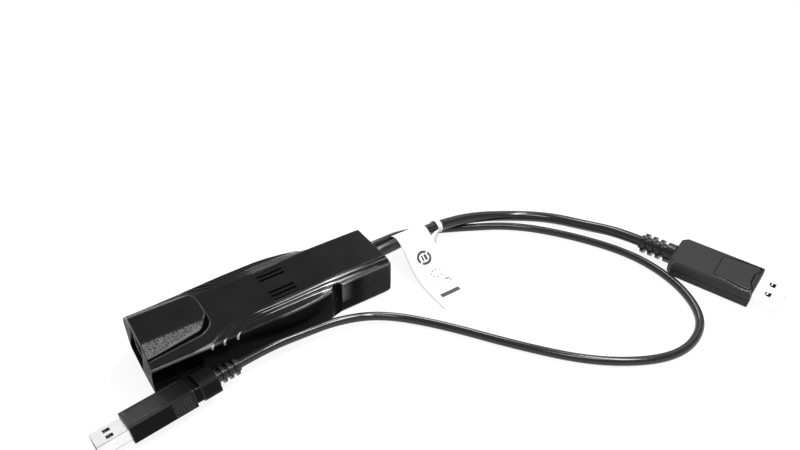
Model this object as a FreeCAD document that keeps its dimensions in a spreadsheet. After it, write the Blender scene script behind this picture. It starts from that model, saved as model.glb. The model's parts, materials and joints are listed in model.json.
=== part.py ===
import FreeCAD, Part
import math
import os
import re

import Sketcher
from FreeCAD import Placement, Rotation, Vector

# KVM adapter dongle, millimetres. X runs from the network socket to the cord end, Z is up,
# and the origin is at the bottom centre of the case.

SIZES = {
    # case
    "near_end": -57.4,
    "near_bow": 150.0,
    "tail_end": 58.4,
    "near_lean": 1.6,
    "tail_lean": 2.2,
    "tail_under": 1.8,
    "tail_round": 5.5,
    "near_half_width": 18.3,
    "grip_half_width": 20.1,
    "tail_half_width": 15.9,
    "grip_station": 4.0,
    "wing_end": 30.5,
    "deck_half_width": 11.8,
    "near_edge_height": 18.5,
    "grip_edge_height": 19.8,
    "tail_edge_height": 19.2,
    "near_deck_height": 20.4,
    "grip_deck_height": 20.6,
    "tail_deck_height": 21.9,
    "edge_radius": 1.3,
    "bottom_radius": 4.2,
    "bottom_draft": 0.9,
    "wall": 1.8,
    "plan_corner": 4.0,
    "near_corner": 1.2,
    "notch_radius": 3.3,
    "neck_half_width": 14.2,
    "seam_height": 10.2,
    "seam_rise": 2.2,
    "seam_line": 0.35,
    "seam_line_depth": 0.3,
    # hump over the network socket
    "hump_height": 25.0,
    "hump_length": 29.4,
    "hump_half_width": 14.5,
    "hump_taper": 3.2,
    "hump_flat_half": 8.3,
    "facet_slope": 31.0,
    "hump_foot": 3.5,
    "hump_corner": 8.0,
    # flow lines and vents
    "flow_width": 0.8,
    "flow_depth": 0.5,
    "flow_pitch": 1.4,
    "vent_length": 12.0,
    "vent_width": 0.9,
    "vent_pitch": 2.7,
    "vent_first": 4.6,
    "vent_station": 0.4,
    # network socket
    "jack_width": 16.0,
    "jack_height": 13.2,
    "jack_length": 21.4,
    "jack_recess": 2.0,
    "shield_sheet": 0.3,
    "plug_way_width": 11.9,
    "plug_way_height": 7.0,
    "plug_way_depth": 15.0,
    "tab_way_width": 6.6,
    "tab_way_height": 2.4,
    "jack_contact": 0.4,
    "jack_pitch": 1.02,
    # board
    "board_under": 7.6,
    "board_thick": 1.6,
    "board_half_width": 14.0,
    "board_tail_half": 11.2,
    "board_start": -53.5,
    "board_neck": 21.0,
    "board_gap": 11.5,
    # screws and posts
    "screw_core": 1.1,
    "screw_head": 2.1,
    "screw_head_height": 1.4,
    "screw_clear": 0.25,
    "screw_bite": 6.0,
    "post_radius": 2.7,
    "front_screw_station": -22.0,
    "front_screw_side": 11.8,
    "rear_screw_station": 38.5,
    "rear_screw_side": 8.6,
    # cords
    "video_cord": 5.6,
    "data_cord": 4.0,
    "exit_height": 14.4,
    "video_exit_side": -0.4,
    "data_exit_side": 5.7,
    "bush_grip": 0.5,
    "bush_inside": 3.0,
    "bush_collar": 1.4,
    "fit": 0.1,
    # DisplayPort plug, along its own axis from the metal end
    "dp_length": 39.5,
    "dp_width": 20.5,
    "dp_height": 10.2,
    "dp_seam": 5.0,
    "dp_chamfer": 2.4,
    "dp_round": 1.6,
    "dp_shell_width": 16.1,
    "dp_shell_height": 4.76,
    "dp_shell_reach": 12.4,
    "dp_shell_seat": 7.0,
    "dp_key": 1.4,
    "dp_sheet": 0.35,
    "dp_slot_width": 12.8,
    "dp_slot_height": 2.0,
    "dp_slot_depth": 9.0,
    "dp_pitch": 1.0,
    "latch_length": 18.6,
    "latch_rear_half": 7.0,
    "latch_front_half": 8.4,
    "latch_gap": 0.35,
    "latch_side_gap": 1.0,
    "latch_rear_gap": 0.1,
    "latch_thick": 1.2,
    "latch_proud": 0.2,
    "latch_drop": 1.1,
    "hook_side": 3.5,
    "hook_width": 1.6,
    "hook_station": 6.6,
    "hook_rise": 0.5,
    "blade_thick": 0.4,
    "dp_boot_reach": 17.5,
    "dp_boot_collar": 4.0,
    "dp_boot_first": 7.1,
    "dp_boot_pitch": 3.95,
    "dp_boot_ring": 5.1,
    "dp_boot_core": 3.6,
    "dp_boot_band": 1.9,
    # USB plug, along its own axis from the metal end
    "usb_length": 25.6,
    "usb_width": 15.2,
    "usb_height": 8.0,
    "usb_round": 1.3,
    "usb_waist_length": 3.3,
    "usb_waist_inset": 1.0,
    "usb_rear_length": 7.5,
    "usb_rear_width": 13.9,
    "usb_panel_depth": 0.25,
    "usb_panel_rim": 1.7,
    "usb_grip_pitch": 1.15,
    "usb_grip_depth": 0.3,
    "usb_rear_height": 9.0,
    "usb_rear_round": 3.2,
    "usb_shell_width": 12.0,
    "usb_shell_height": 4.5,
    "usb_shell_reach": 12.0,
    "usb_shell_seat": 6.0,
    "usb_sheet": 0.3,
    "usb_tongue": 1.9,
    "usb_boot_reach": 11.0,
    "usb_boot_collar": 1.0,
    "usb_boot_first": 3.4,
    "usb_boot_pitch": 2.9,
    "usb_boot_ring": 3.9,
    "usb_boot_core": 2.75,
    "usb_boot_band": 1.3,
    # cable tag
    "tag_width": 19.0,
    "tag_film": 0.3,
    "strap_width": 3.4,
}

doc = FreeCAD.newDocument("kvm_dongle")
sheet = doc.addObject("Spreadsheet::Sheet", "Sizes")
for row, (name, number) in enumerate(SIZES.items(), start=1):
    sheet.set(f"A{row}", name)
    sheet.set(f"B{row}", str(number))
    sheet.setAlias(f"B{row}", name)
doc.recompute()

PARTS = []


def size(name):
    return float(getattr(sheet, name))


def feature(label, shape, place=None):
    """A sub-part whose form is made by Part's own functions."""
    made = doc.addObject("Part::Feature", label)
    made.Label = label
    made.Shape = shape
    if place is not None:
        made.Placement = place
    PARTS.append(made)
    return made


def box(x_low, x_high, y_low, y_high, z_low, z_high):
    return Part.makeBox(x_high - x_low, y_high - y_low, z_high - z_low, Vector(x_low, y_low, z_low))


def mirrored_y(shape):
    return shape.mirror(Vector(0, 0, 0), Vector(0, 1, 0))


def both_sides(shape):
    return [shape, mirrored_y(shape)]


def prism(points, height):
    """A straight prism on a closed polygon."""
    return Part.Face(Part.makePolygon(points + points[:1])).extrude(height)


def rounded_slab(x_low, x_high, half, radius_low, radius_high, z_low, z_high):
    """A slab with rounded corners in plan, one radius at each end."""
    slab = box(x_low, x_high, -half, half, z_low, z_high)
    low = [e for e in slab.Edges if upright(e) and abs(e.Vertexes[0].X - x_low) < 1e-6]
    high = [e for e in slab.Edges if upright(e) and abs(e.Vertexes[0].X - x_high) < 1e-6]
    slab = slab.makeFillet(radius_low, low)
    high = [e for e in slab.Edges if upright(e) and abs(e.Vertexes[0].X - x_high) < 1e-6]
    return slab.makeFillet(radius_high, high)


def upright(edge):
    first, last = edge.Vertexes[0].Point, edge.Vertexes[-1].Point
    return abs(first.x - last.x) < 1e-6 and abs(first.y - last.y) < 1e-6


def solid_of(shape):
    """The one solid of a boolean's result."""
    solids = shape.removeSplitter().Solids
    return max(solids, key=lambda s: s.Volume)


# ---------------------------------------------------------------- parametric bodies


def body(label):
    made = doc.addObject("PartDesign::Body", label)
    made.Label = label
    PARTS.append(made)
    return made


def origin_plane(owner, role):
    return next(f for f in owner.Origin.OriginFeatures if f.Role == role)


def bound(text):
    """An expression in which every word is a cell of the sheet."""
    return re.sub(r"[a-z]\w*", lambda word: f"Sizes.{word[0]}", text)


def value(text):
    return float(sheet.evalExpression(bound(text)))


def new_sketch(owner, name, role, lift="0"):
    sketch = owner.newObject("Sketcher::SketchObject", name)
    sketch.AttachmentSupport = [(origin_plane(owner, role), "")]
    sketch.MapMode = "FlatFace"
    if lift != "0":
        sketch.setExpression("AttachmentOffset.Base.z", bound(lift))
    return sketch


def hold(sketch, kind, item, spot, text):
    """Hold a point of the sketch at an expression's distance from its origin."""
    number = value(text)
    if abs(number) < 1e-9:
        axis = -2 if kind == "DistanceX" else -1
        sketch.addConstraint(Sketcher.Constraint("PointOnObject", item, spot, axis))
        return
    held = sketch.addConstraint(Sketcher.Constraint(kind, -1, 1, item, spot, number))
    sketch.setExpression(f"Constraints[{held}]", bound(text))


def outline(owner, name, role, corners, lift="0"):
    """A closed polygon sketch; every corner is held by two expressions."""
    sketch = new_sketch(owner, name, role, lift)
    places = [Vector(value(across), value(up), 0) for across, up in corners]
    count = len(places)
    for index in range(count):
        line = Part.LineSegment(places[index], places[(index + 1) % count])
        sketch.addGeometry(line, False)
    for index in range(count):
        sketch.addConstraint(Sketcher.Constraint("Coincident", index, 2, (index + 1) % count, 1))
    for index, (across, up) in enumerate(corners):
        hold(sketch, "DistanceX", index, 1, across)
        hold(sketch, "DistanceY", index, 1, up)
    return sketch


def rectangle(owner, name, role, low, high, lift="0"):
    """A rectangle sketch between two corners, each a pair of expressions."""
    corners = [(low[0], low[1]), (high[0], low[1]), (high[0], high[1]), (low[0], high[1])]
    return outline(owner, name, role, corners, lift)


def pad(owner, name, sketch, length, back=False):
    made = owner.newObject("PartDesign::Pad", name)
    made.Profile = sketch
    made.setExpression("Length", bound(length))
    made.Reversed = back
    return made


def pocket(owner, name, sketch, length, back=False):
    made = owner.newObject("PartDesign::Pocket", name)
    made.Profile = sketch
    made.setExpression("Length", bound(length))
    made.Reversed = back
    return made


def revolve(owner, name, sketch):
    """A full turn about the sketch's horizontal axis."""
    made = owner.newObject("PartDesign::Revolution", name)
    made.Profile = sketch
    made.ReferenceAxis = (sketch, ["H_Axis"])
    made.Angle = 360
    return made


def round_edges(owner, name, base, wanted, radius):
    """A fillet on the base feature's edges that the test picks."""
    doc.recompute()
    names = [f"Edge{i}" for i, e in enumerate(base.Shape.Edges, start=1) if wanted(e)]
    made = owner.newObject("PartDesign::Fillet", name)
    made.Base = (base, names)
    made.setExpression("Radius", bound(radius))
    return made


def along_x(edge):
    first, last = edge.Vertexes[0].Point, edge.Vertexes[-1].Point
    return abs(first.y - last.y) < 1e-6 and abs(first.z - last.z) < 1e-6


def block(label, low, high):
    """A Part box between two corners, each three expressions."""
    made = doc.addObject("Part::Box", label)
    made.Label = label
    for side, start, end in zip(("Length", "Width", "Height"), low, high):
        made.setExpression(side, bound(f"({end}) - ({start})"))
    for axis, start in zip("xyz", low):
        made.setExpression(f"Placement.Base.{axis}", bound(start))
    return made


def carved(label, base, tools):
    """Boxes cut away from a box, one after another; the last cut is the sub-part."""
    for index, tool in enumerate(tools):
        cut = doc.addObject("Part::Cut", f"{label}_cut{index}")
        cut.Base = base
        cut.Tool = tool
        base = cut
    base.Label = label
    PARTS.append(base)
    return base


# ---------------------------------------------------------------- the case

near_x = size("near_end")
tail_x = size("tail_end")
wall = size("wall")
board_top = size("board_under") + size("board_thick")


def blend(low, high, share):
    smooth = share * share * (3 - 2 * share)
    return low + (high - low) * smooth


def case_station(x):
    """Half width, edge height and deck height of the case at a station along X."""
    grip = size("grip_station")
    if x <= grip:
        share = (x - near_x) / (grip - near_x)
        return (
            blend(size("near_half_width"), size("grip_half_width"), share),
            blend(size("near_edge_height"), size("grip_edge_height"), share),
            blend(size("near_deck_height"), size("grip_deck_height"), share),
        )
    share = (x - grip) / (size("wing_end") - grip)
    half = size("grip_half_width") - (size("grip_half_width") - size("tail_half_width")) * share**2
    return (
        half,
        blend(size("grip_edge_height"), size("tail_edge_height"), share),
        blend(size("grip_deck_height"), size("tail_deck_height"), share),
    )


def section(x, half, edge, deck, inset=0.0):
    """Closed cross-section of the case at x, drawn in by the inset."""
    half -= inset
    edge -= inset * 0.6
    deck -= inset
    foot = inset - 0.02
    low_round = max(size("bottom_radius") - inset, 1.0)
    top_round = max(size("edge_radius") - inset, 0.4)
    flat = size("deck_half_width") - inset * 0.4
    low = half - size("bottom_draft")
    bend = math.sqrt(0.5)

    def at(y, z):
        return Vector(x, y, z)

    right = [
        Part.LineSegment(at(0, foot), at(low - low_round, foot)),
        Part.Arc(
            at(low - low_round, foot),
            at(low - low_round + low_round * bend, foot + low_round - low_round * bend),
            at(low, foot + low_round),
        ),
        Part.LineSegment(at(low, foot + low_round), at(half, edge - top_round)),
        Part.Arc(
            at(half, edge - top_round),
            at(half - top_round + top_round * bend, edge - top_round + top_round * bend),
            at(half - top_round, edge),
        ),
        Part.LineSegment(at(half - top_round, edge), at(flat, deck)),
        Part.LineSegment(at(flat, deck), at(0, deck)),
    ]
    edges = [piece.toShape() for piece in right]
    left = [mirrored_y(e) for e in reversed(edges)]
    return Part.Wire(Part.__sortEdges__(edges + left))


def case_form(inset, near_inset, tail_inset):
    """Front part with the grip wings, and the plain tail, as two lofts."""
    grip = size("grip_station")
    wing = size("wing_end")
    start = near_x + near_inset
    stations = [start + (grip - start) * i / 4 for i in range(5)]
    stations += [grip + (wing - grip) * i / 4 for i in range(1, 5)]
    front = Part.makeLoft([section(x, *case_station(x), inset) for x in stations], True, True)
    tail_size = (size("tail_half_width"), size("tail_edge_height"), size("tail_deck_height"))
    tail_end = tail_x - tail_inset
    tail = Part.makeLoft([section(x, *tail_size, inset) for x in (wing, tail_end)], True, True)
    return front, tail


def side_limits(inset):
    """Side view of the case as a prism: leaning ends and a rounded heel at the cords."""
    seam = size("seam_height")
    deck = size("tail_deck_height") - inset
    top = size("hump_height") + 1
    wing = size("wing_end")
    side = size("grip_half_width") + 5
    near_end = near_x + inset
    tail_end = tail_x - inset
    front_profile = [
        Vector(wing, -side, inset),
        Vector(near_end + size("tail_under"), -side, inset),
        Vector(near_end, -side, seam),
        Vector(near_end + size("near_lean"), -side, size("near_edge_height")),
        Vector(near_end + size("near_lean"), -side, top),
        Vector(wing, -side, top),
    ]
    tail_profile = [
        Vector(0, -side, inset),
        Vector(tail_end - size("tail_under"), -side, inset),
        Vector(tail_end, -side, seam + size("seam_rise")),
        Vector(tail_end - size("tail_lean"), -side, deck),
        Vector(0, -side, deck),
    ]
    front = prism(front_profile, Vector(0, 2 * side, 0))
    tail = prism(tail_profile, Vector(0, 2 * side, 0))

    def corner(shape, height):
        return [
            e for e in shape.Edges
            if e.BoundBox.YLength > side and e.BoundBox.XMin > wing
            and abs(e.BoundBox.Center.z - height) < 1e-6
        ]

    tail = tail.makeFillet(size("tail_round") - inset, corner(tail, inset))
    tail = tail.makeFillet(size("edge_radius"), corner(tail, deck))
    return front.common(box(near_x - 1, 0, -side, side, 0, top)).fuse(tail)


def case_outer(inset):
    """Outside of the case without its hump, drawn in by the inset."""
    front, tail = case_form(inset, inset, inset)
    whole = front.fuse(tail)
    notch_round = size("notch_radius") + inset
    notch_x = size("wing_end") - size("notch_radius") * 0.7
    notch_y = size("neck_half_width") + size("notch_radius")
    notch = Part.makeCylinder(notch_round, size("hump_height") + 2, Vector(notch_x, notch_y, -1))
    high = size("hump_height")
    near_end, tail_end = near_x + inset, tail_x - inset
    wide = size("grip_half_width") + 2 - inset
    plan = rounded_slab(near_end, tail_end, wide, size("near_corner"), 0.5, 0, high)
    tail_plan = rounded_slab(
        near_end - 5, tail_end, size("tail_half_width") - inset, 0.5, size("plan_corner") - inset, -1, high
    )
    tail_plan = tail_plan.fuse(box(near_end - 5, size("wing_end"), -30, 30, -1, high))
    bow = size("near_bow")
    bowed = Part.makeCylinder(bow, high + 2, Vector(near_end + bow, 0, -1))
    whole = whole.common(plan).common(tail_plan).common(side_limits(inset)).common(bowed)
    for cutter in both_sides(notch):
        whole = whole.cut(cutter)
    return solid_of(whole)


def below_seam(drop):
    """Everything more than the drop below the seam between the two case halves."""
    rise_start = size("wing_end")
    seam = size("seam_height") - drop
    top = seam + size("seam_rise")
    side = size("grip_half_width") + 5
    profile = [
        Vector(near_x - 5, -side, -5),
        Vector(near_x - 5, -side, seam),
        Vector(rise_start, -side, seam),
        Vector(tail_x, -side, top),
        Vector(tail_x + 5, -side, top),
        Vector(tail_x + 5, -side, -5),
    ]
    return prism(profile, Vector(0, 2 * side, 0))


def hump_solid(inset):
    """The raised block over the network socket, with its two slanted facets."""
    half = size("hump_half_width") - inset
    rear_half = half - size("hump_taper")
    top = size("hump_height") - inset
    base = size("near_edge_height") - 3
    rear = near_x + size("hump_length") - inset
    start = near_x + inset * 2
    round_rear = size("hump_corner")
    foot = size("hump_foot")

    def ring(z, spread):
        reach = rear + spread
        wide = rear_half + spread
        points = [
            Vector(start, -half, z),
            Vector(reach - round_rear, -wide, z),
            Vector(reach, -wide + round_rear, z),
            Vector(reach, wide - round_rear, z),
            Vector(reach - round_rear, wide, z),
            Vector(start, half, z),
        ]
        turn = round_rear * (1 - math.sqrt(0.5))
        edges = [
            Part.LineSegment(points[0], points[1]).toShape(),
            Part.Arc(points[1], Vector(reach - turn, -wide + turn, z), points[2]).toShape(),
            Part.LineSegment(points[2], points[3]).toShape(),
            Part.Arc(points[3], Vector(reach - turn, wide - turn, z), points[4]).toShape(),
            Part.LineSegment(points[4], points[5]).toShape(),
            Part.LineSegment(points[5], points[0]).toShape(),
        ]
        return Part.Wire(edges)

    deck = size("near_deck_height")
    rise = size("hump_height") - deck
    spread = foot * (deck - base) / rise
    block = Part.makeLoft([ring(base, foot * 0.55 + spread * 0.1), ring(top, 0.0)], True, True)
    slope = math.radians(size("facet_slope"))
    flat = size("hump_flat_half") - inset * math.tan(slope / 2)
    drop = 12.0 * math.tan(slope)
    wedge = prism(
        [
            Vector(start - 5, flat, top),
            Vector(start - 5, flat + 12.0, top - drop),
            Vector(start - 5, flat + 12.0, top + 5),
            Vector(start - 5, flat, top + 5),
        ],
        Vector(size("hump_length") + 20, 0, 0),
    )
    for cutter in both_sides(wedge):
        block = block.cut(cutter)
    return solid_of(block)


def flow_blade(side_y, bend, x_in, x_end):
    """Upright blade along one flow line: a straight run and a bend out over the edge."""
    half = size("flow_width") / 2
    z_low = 12.0
    z_high = size("tail_deck_height") + 3
    straight = box(x_in, x_end, -side_y - half, -side_y + half, z_low, z_high)
    centre = Vector(x_in, -side_y - bend, z_low)
    ring = Part.makeCylinder(bend + half, z_high - z_low, centre)
    ring = ring.cut(Part.makeCylinder(bend - half, z_high - z_low, centre))
    reach = 0.62 * bend
    ring = ring.common(box(x_in - reach, x_in, -side_y - bend, -side_y + half, z_low, z_high))
    return straight.fuse(ring)


def cut_flow_lines(form, lowered):
    first = size("deck_half_width") + size("flow_width") * 0.6
    pitch = size("flow_pitch")
    wing = size("wing_end") - size("notch_radius") * 1.6
    lines = [
        (first, 30.0, -12.5, tail_x + 1),
        (first + pitch, 24.0, -11.0, tail_x - 8.0),
        (first + 2 * pitch + 0.5, 18.0, -9.5, wing),
    ]
    for side_y, bend, x_in, x_end in lines:
        blade = flow_blade(side_y, bend, x_in, x_end).cut(lowered)
        for cutter in both_sides(blade):
            form = form.cut(cutter)
    return form


def vent_slots():
    half = size("vent_width") / 2
    start = size("vent_station")
    slots = []
    for index in range(3):
        across = size("vent_first") + index * size("vent_pitch")
        slot = box(
            start, start + size("vent_length"), across - half, across + half,
            size("grip_deck_height") - wall - 2, size("tail_deck_height") + 1,
        )
        slots += both_sides(slot)
    return slots


SCREWS = [
    (size("front_screw_station"), size("front_screw_side")),
    (size("front_screw_station"), -size("front_screw_side")),
    (size("rear_screw_station"), size("rear_screw_side")),
    (size("rear_screw_station"), -size("rear_screw_side")),
]

jack_bottom = board_top
jack_top = jack_bottom + size("jack_height")
jack_half = size("jack_width") / 2
exit_z = size("exit_height")
tail_wall_inner = tail_x - wall - size("tail_lean")


def bush_neck(cord):
    """Outer radius of the cord bush where it passes the wall."""
    return cord / 2 + size("bush_grip")


CORD_EXITS = [
    ("video", size("video_cord"), size("video_exit_side")),
    ("data", size("data_cord"), size("data_exit_side")),
]


def bush_ways():
    """Holes in the tail wall for the two cord bushes."""
    ways = []
    for _, cord, side in CORD_EXITS:
        way = bush_neck(cord) + size("fit")
        start = Vector(tail_wall_inner - 1, side, exit_z)
        ways.append(Part.makeCylinder(way, tail_x - start.x + 1, start, Vector(1, 0, 0)))
    return ways


def make_case():
    outer = case_outer(0.0)
    lowered = outer.copy()
    lowered.translate(Vector(0, 0, -size("flow_depth")))
    outer = cut_flow_lines(outer, lowered)
    outer = outer.fuse(hump_solid(0.0).common(side_limits(0.0)))
    outer = outer.removeSplitter()
    front, tail = case_form(wall, wall + size("near_lean"), wall + size("tail_lean"))
    neck_inner = size("neck_half_width") - wall
    notch_start = size("wing_end") - size("notch_radius") * 2.0
    front = front.common(box(near_x - 5, notch_start - wall + 1, -40, 40, -5, 40))
    tail = tail.common(box(size("wing_end") + wall, tail_wall_inner, -40, 40, -5, 40))
    neck = box(
        notch_start - wall, size("wing_end") + wall + 1, -neck_inner, neck_inner,
        wall + 1.5, size("grip_deck_height") - wall,
    )
    inside = front.fuse(tail).fuse(neck).fuse(hump_solid(wall))
    hollow = outer.cut(inside)
    jack_way = box(near_x - 1, near_x + 2 * wall + 2, -jack_half, jack_half, jack_bottom, jack_top)
    hollow = hollow.cut(jack_way)
    below = below_seam(0.0)
    tab_low = min(side - cord for _, cord, side in CORD_EXITS)
    tab_high = max(side + cord for _, cord, side in CORD_EXITS)
    tab = box(tail_wall_inner, tail_x, tab_low, tab_high, size("seam_height"), exit_z)
    seam_ring = below.cut(below_seam(size("seam_line"))).cut(case_outer(size("seam_line_depth")))
    lower = hollow.common(below).cut(seam_ring).fuse(hollow.common(tab))
    upper = hollow.cut(below).cut(tab)
    for way in bush_ways():
        lower = lower.cut(way)
        upper = upper.cut(way)
    return solid_of(upper), solid_of(lower)


def add_posts(upper, lower):
    radius = size("post_radius")
    core = size("screw_core")
    clear = core + size("screw_clear")
    bite = size("screw_bite")
    for x, y in SCREWS:
        post = Part.makeCylinder(radius, size("board_under") - wall * 0.5, Vector(x, y, wall * 0.5))
        deck = case_station(min(x, size("wing_end")))[2]
        boss = Part.makeCylinder(radius, deck - wall * 0.8 - board_top, Vector(x, y, board_top))
        lower = lower.fuse(post)
        upper = upper.fuse(boss)
    for x, y in SCREWS:
        lower = lower.cut(Part.makeCylinder(clear, size("board_under") + 1, Vector(x, y, -0.5)))
        well = size("screw_head") + size("screw_clear")
        lower = lower.cut(Part.makeCylinder(well, size("screw_head_height") + 1.0, Vector(x, y, -1.0)))
        upper = upper.cut(Part.makeCylinder(core, bite, Vector(x, y, board_top)))
    return solid_of(upper), solid_of(lower)


upper_case, lower_case = make_case()
for slot in vent_slots():
    upper_case = upper_case.cut(slot)
upper_case, lower_case = add_posts(solid_of(upper_case), lower_case)
feature("upper_shell", upper_case)
feature("lower_shell", lower_case)


def make_screws():
    """Four identical self-tapping screws in one node."""
    screws = []
    for x, y in SCREWS:
        head = Part.makeCylinder(size("screw_head"), size("screw_head_height"), Vector(x, y, 0))
        length = board_top + size("screw_bite") - 0.4
        shank = Part.makeCylinder(size("screw_core"), length, Vector(x, y, 0))
        recess = box(x - 1.2, x + 1.2, y - 0.25, y + 0.25, -0.1, 0.7)
        cross = box(x - 0.25, x + 0.25, y - 1.2, y + 1.2, -0.1, 0.7)
        screws.append(head.fuse(shank).cut(recess).cut(cross))
    return Part.makeCompound(screws)


feature("case_screws", make_screws())


# ---------------------------------------------------------------- board and what it carries


def make_board():
    owner = body("main_board")
    plan = [
        ("board_start", "-board_half_width"),
        ("board_neck", "-board_half_width"),
        ("board_neck + 3", "-board_tail_half"),
        ("tail_end - board_gap", "-board_tail_half"),
        ("tail_end - board_gap", "board_tail_half"),
        ("board_neck + 3", "board_tail_half"),
        ("board_neck", "board_half_width"),
        ("board_start", "board_half_width"),
    ]
    sketch = outline(owner, "BoardPlan", "XY_Plane", plan, "board_under")
    pad(owner, "BoardPad", sketch, "board_thick")
    holes = new_sketch(owner, "BoardHoles", "XY_Plane", "board_under + board_thick")
    index = 0
    for end in ("front", "rear"):
        for sign in ("", "-"):
            across, up = f"{end}_screw_station", f"{sign}{end}_screw_side"
            place = Vector(value(across), value(up), 0)
            radius = value("screw_core + screw_clear")
            holes.addGeometry(Part.Circle(place, Vector(0, 0, 1), radius), False)
            hold(holes, "DistanceX", index, 3, across)
            hold(holes, "DistanceY", index, 3, up)
            held = holes.addConstraint(Sketcher.Constraint("Radius", index, radius))
            holes.setExpression(f"Constraints[{held}]", bound("screw_core + screw_clear"))
            index += 1
    pocket(owner, "BoardHoleCut", holes, "board_thick")


BOARD_TOP = "board_under + board_thick"


def chip(label, x, y, length, width, height):
    """A chip that sits on the board, centred at x and y."""
    made = block(
        label,
        (f"{x} - {length} / 2", f"{y} - {width} / 2", BOARD_TOP),
        (f"{x} + {length} / 2", f"{y} + {width} / 2", f"{BOARD_TOP} + {height}"),
    )
    PARTS.append(made)
    return made


make_board()
chip("video_chip", "6", "-1", "14", "14", "1.4")
chip("lan_magnetics", "-24", "0", "7", "16", "6")
chip("crystal", "-6", "7.5", "5", "3.2", "1.3")
chip("dp_header", "tail_end - board_gap - 2", "video_exit_side - 1", "3", "8", "4.4")
chip("usb_header", "tail_end - board_gap - 2", "data_exit_side + 0.6", "3", "4.4", "4.4")

CAPACITORS = [(-13, -7.5), (-9, -10.5), (-13, 3), (17, -6), (17, 2), (17, 8)]


def make_capacitors():
    """Surface-mount capacitors, one small block each."""
    blocks = []
    for x, y in CAPACITORS:
        blocks.append(box(x - 1.6, x + 1.6, y - 0.8, y + 0.8, board_top, board_top + 1.2))
    return Part.makeCompound(blocks)


feature("board_capacitors", make_capacitors())


def make_jack():
    """Network socket: sheet shield, plastic block with its plug way, eight wires."""
    side = "jack_width / 2"
    front = "jack_recess + near_end"
    back = "jack_recess + near_end + jack_length"
    top = f"{BOARD_TOP} + jack_height"
    shield = block("jack_can", (front, f"-{side}", BOARD_TOP), (back, side, top))
    room = block(
        "jack_room",
        (f"{front} - 1", f"shield_sheet - {side}", f"{BOARD_TOP} + shield_sheet"),
        (f"{back} - shield_sheet", f"{side} - shield_sheet", f"{top} - shield_sheet"),
    )
    carved("rj45_shield", shield, [room])
    core = block(
        "jack_core",
        (f"{front} + 0.4", f"shield_sheet - {side}", f"{BOARD_TOP} + shield_sheet"),
        (f"{back} - shield_sheet", f"{side} - shield_sheet", f"{top} - shield_sheet"),
    )
    floor = f"{BOARD_TOP} + jack_height - 2 - plug_way_height"
    plug_way = block(
        "plug_way",
        (f"{front} - 1", "-plug_way_width / 2", floor),
        (f"{front} + plug_way_depth", "plug_way_width / 2", f"{floor} + plug_way_height"),
    )
    tab_way = block(
        "tab_way",
        (f"{front} - 1", "-tab_way_width / 2", f"{floor} - tab_way_height"),
        (f"{front} + plug_way_depth", "tab_way_width / 2", floor),
    )
    carved("rj45_jack", core, [plug_way, tab_way])


def make_jack_wires():
    """Eight spring wires that slant back from the roof of the plug way."""
    roof = board_top + size("jack_height") - 2
    start = near_x + size("jack_recess") + 3
    end = near_x + size("jack_recess") + size("plug_way_depth")
    thick = size("jack_contact")
    wires = []
    for index in range(8):
        y = (index - 3.5) * size("jack_pitch") - thick / 2
        profile = [
            Vector(start, y, roof),
            Vector(end - 3.5, y, roof - 2.2),
            Vector(end - 3.5, y, roof - 2.2 + thick),
            Vector(start + thick * 3, y, roof),
        ]
        wires.append(prism(profile, Vector(0, thick, 0)))
    return Part.makeCompound(wires)


make_jack()
feature("rj45_contacts", make_jack_wires())


def make_bush():
    """Rubber bush that both cords leave the case through."""
    inner = tail_wall_inner - size("bush_inside")
    collar_low = size("video_exit_side") - size("video_cord") / 2 - size("bush_collar")
    collar_high = size("data_exit_side") + size("data_cord") / 2 + size("bush_collar")
    reach = size("video_cord") / 2 + size("bush_collar")
    bush = box(inner, tail_wall_inner, collar_low, collar_high, exit_z - reach, exit_z + reach)
    for _, cord, side in CORD_EXITS:
        start = Vector(inner, side, exit_z)
        length = tail_x - inner
        bush = bush.fuse(Part.makeCylinder(bush_neck(cord), length, start, Vector(1, 0, 0)))
    for _, cord, side in CORD_EXITS:
        start = Vector(inner - 1, side, exit_z)
        length = tail_x + 2 - inner
        bush = bush.cut(Part.makeCylinder(cord / 2 + size("fit"), length, start, Vector(1, 0, 0)))
    return solid_of(bush)


def make_leads(cord, side, header_side):
    """The stripped leads between a cord's end and its header."""
    start = Vector(tail_wall_inner - size("bush_inside"), side, exit_z)
    end = Vector(tail_x - size("board_gap") - 0.5, header_side, board_top + 2.4)
    circles = []
    for centre, radius in ((start, cord * 0.34), (end, cord * 0.3)):
        circles.append(Part.Wire(Part.makeCircle(radius, centre, Vector(1, 0, 0))))
    return Part.makeLoft(circles, True, True)


feature("cord_bush", make_bush())
feature(
    "dp_leads", make_leads(size("video_cord"), size("video_exit_side"), size("video_exit_side") - 1)
)
feature(
    "usb_leads", make_leads(size("data_cord"), size("data_exit_side"), size("data_exit_side") + 0.6)
)

# ---------------------------------------------------------------- the two cords

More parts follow.
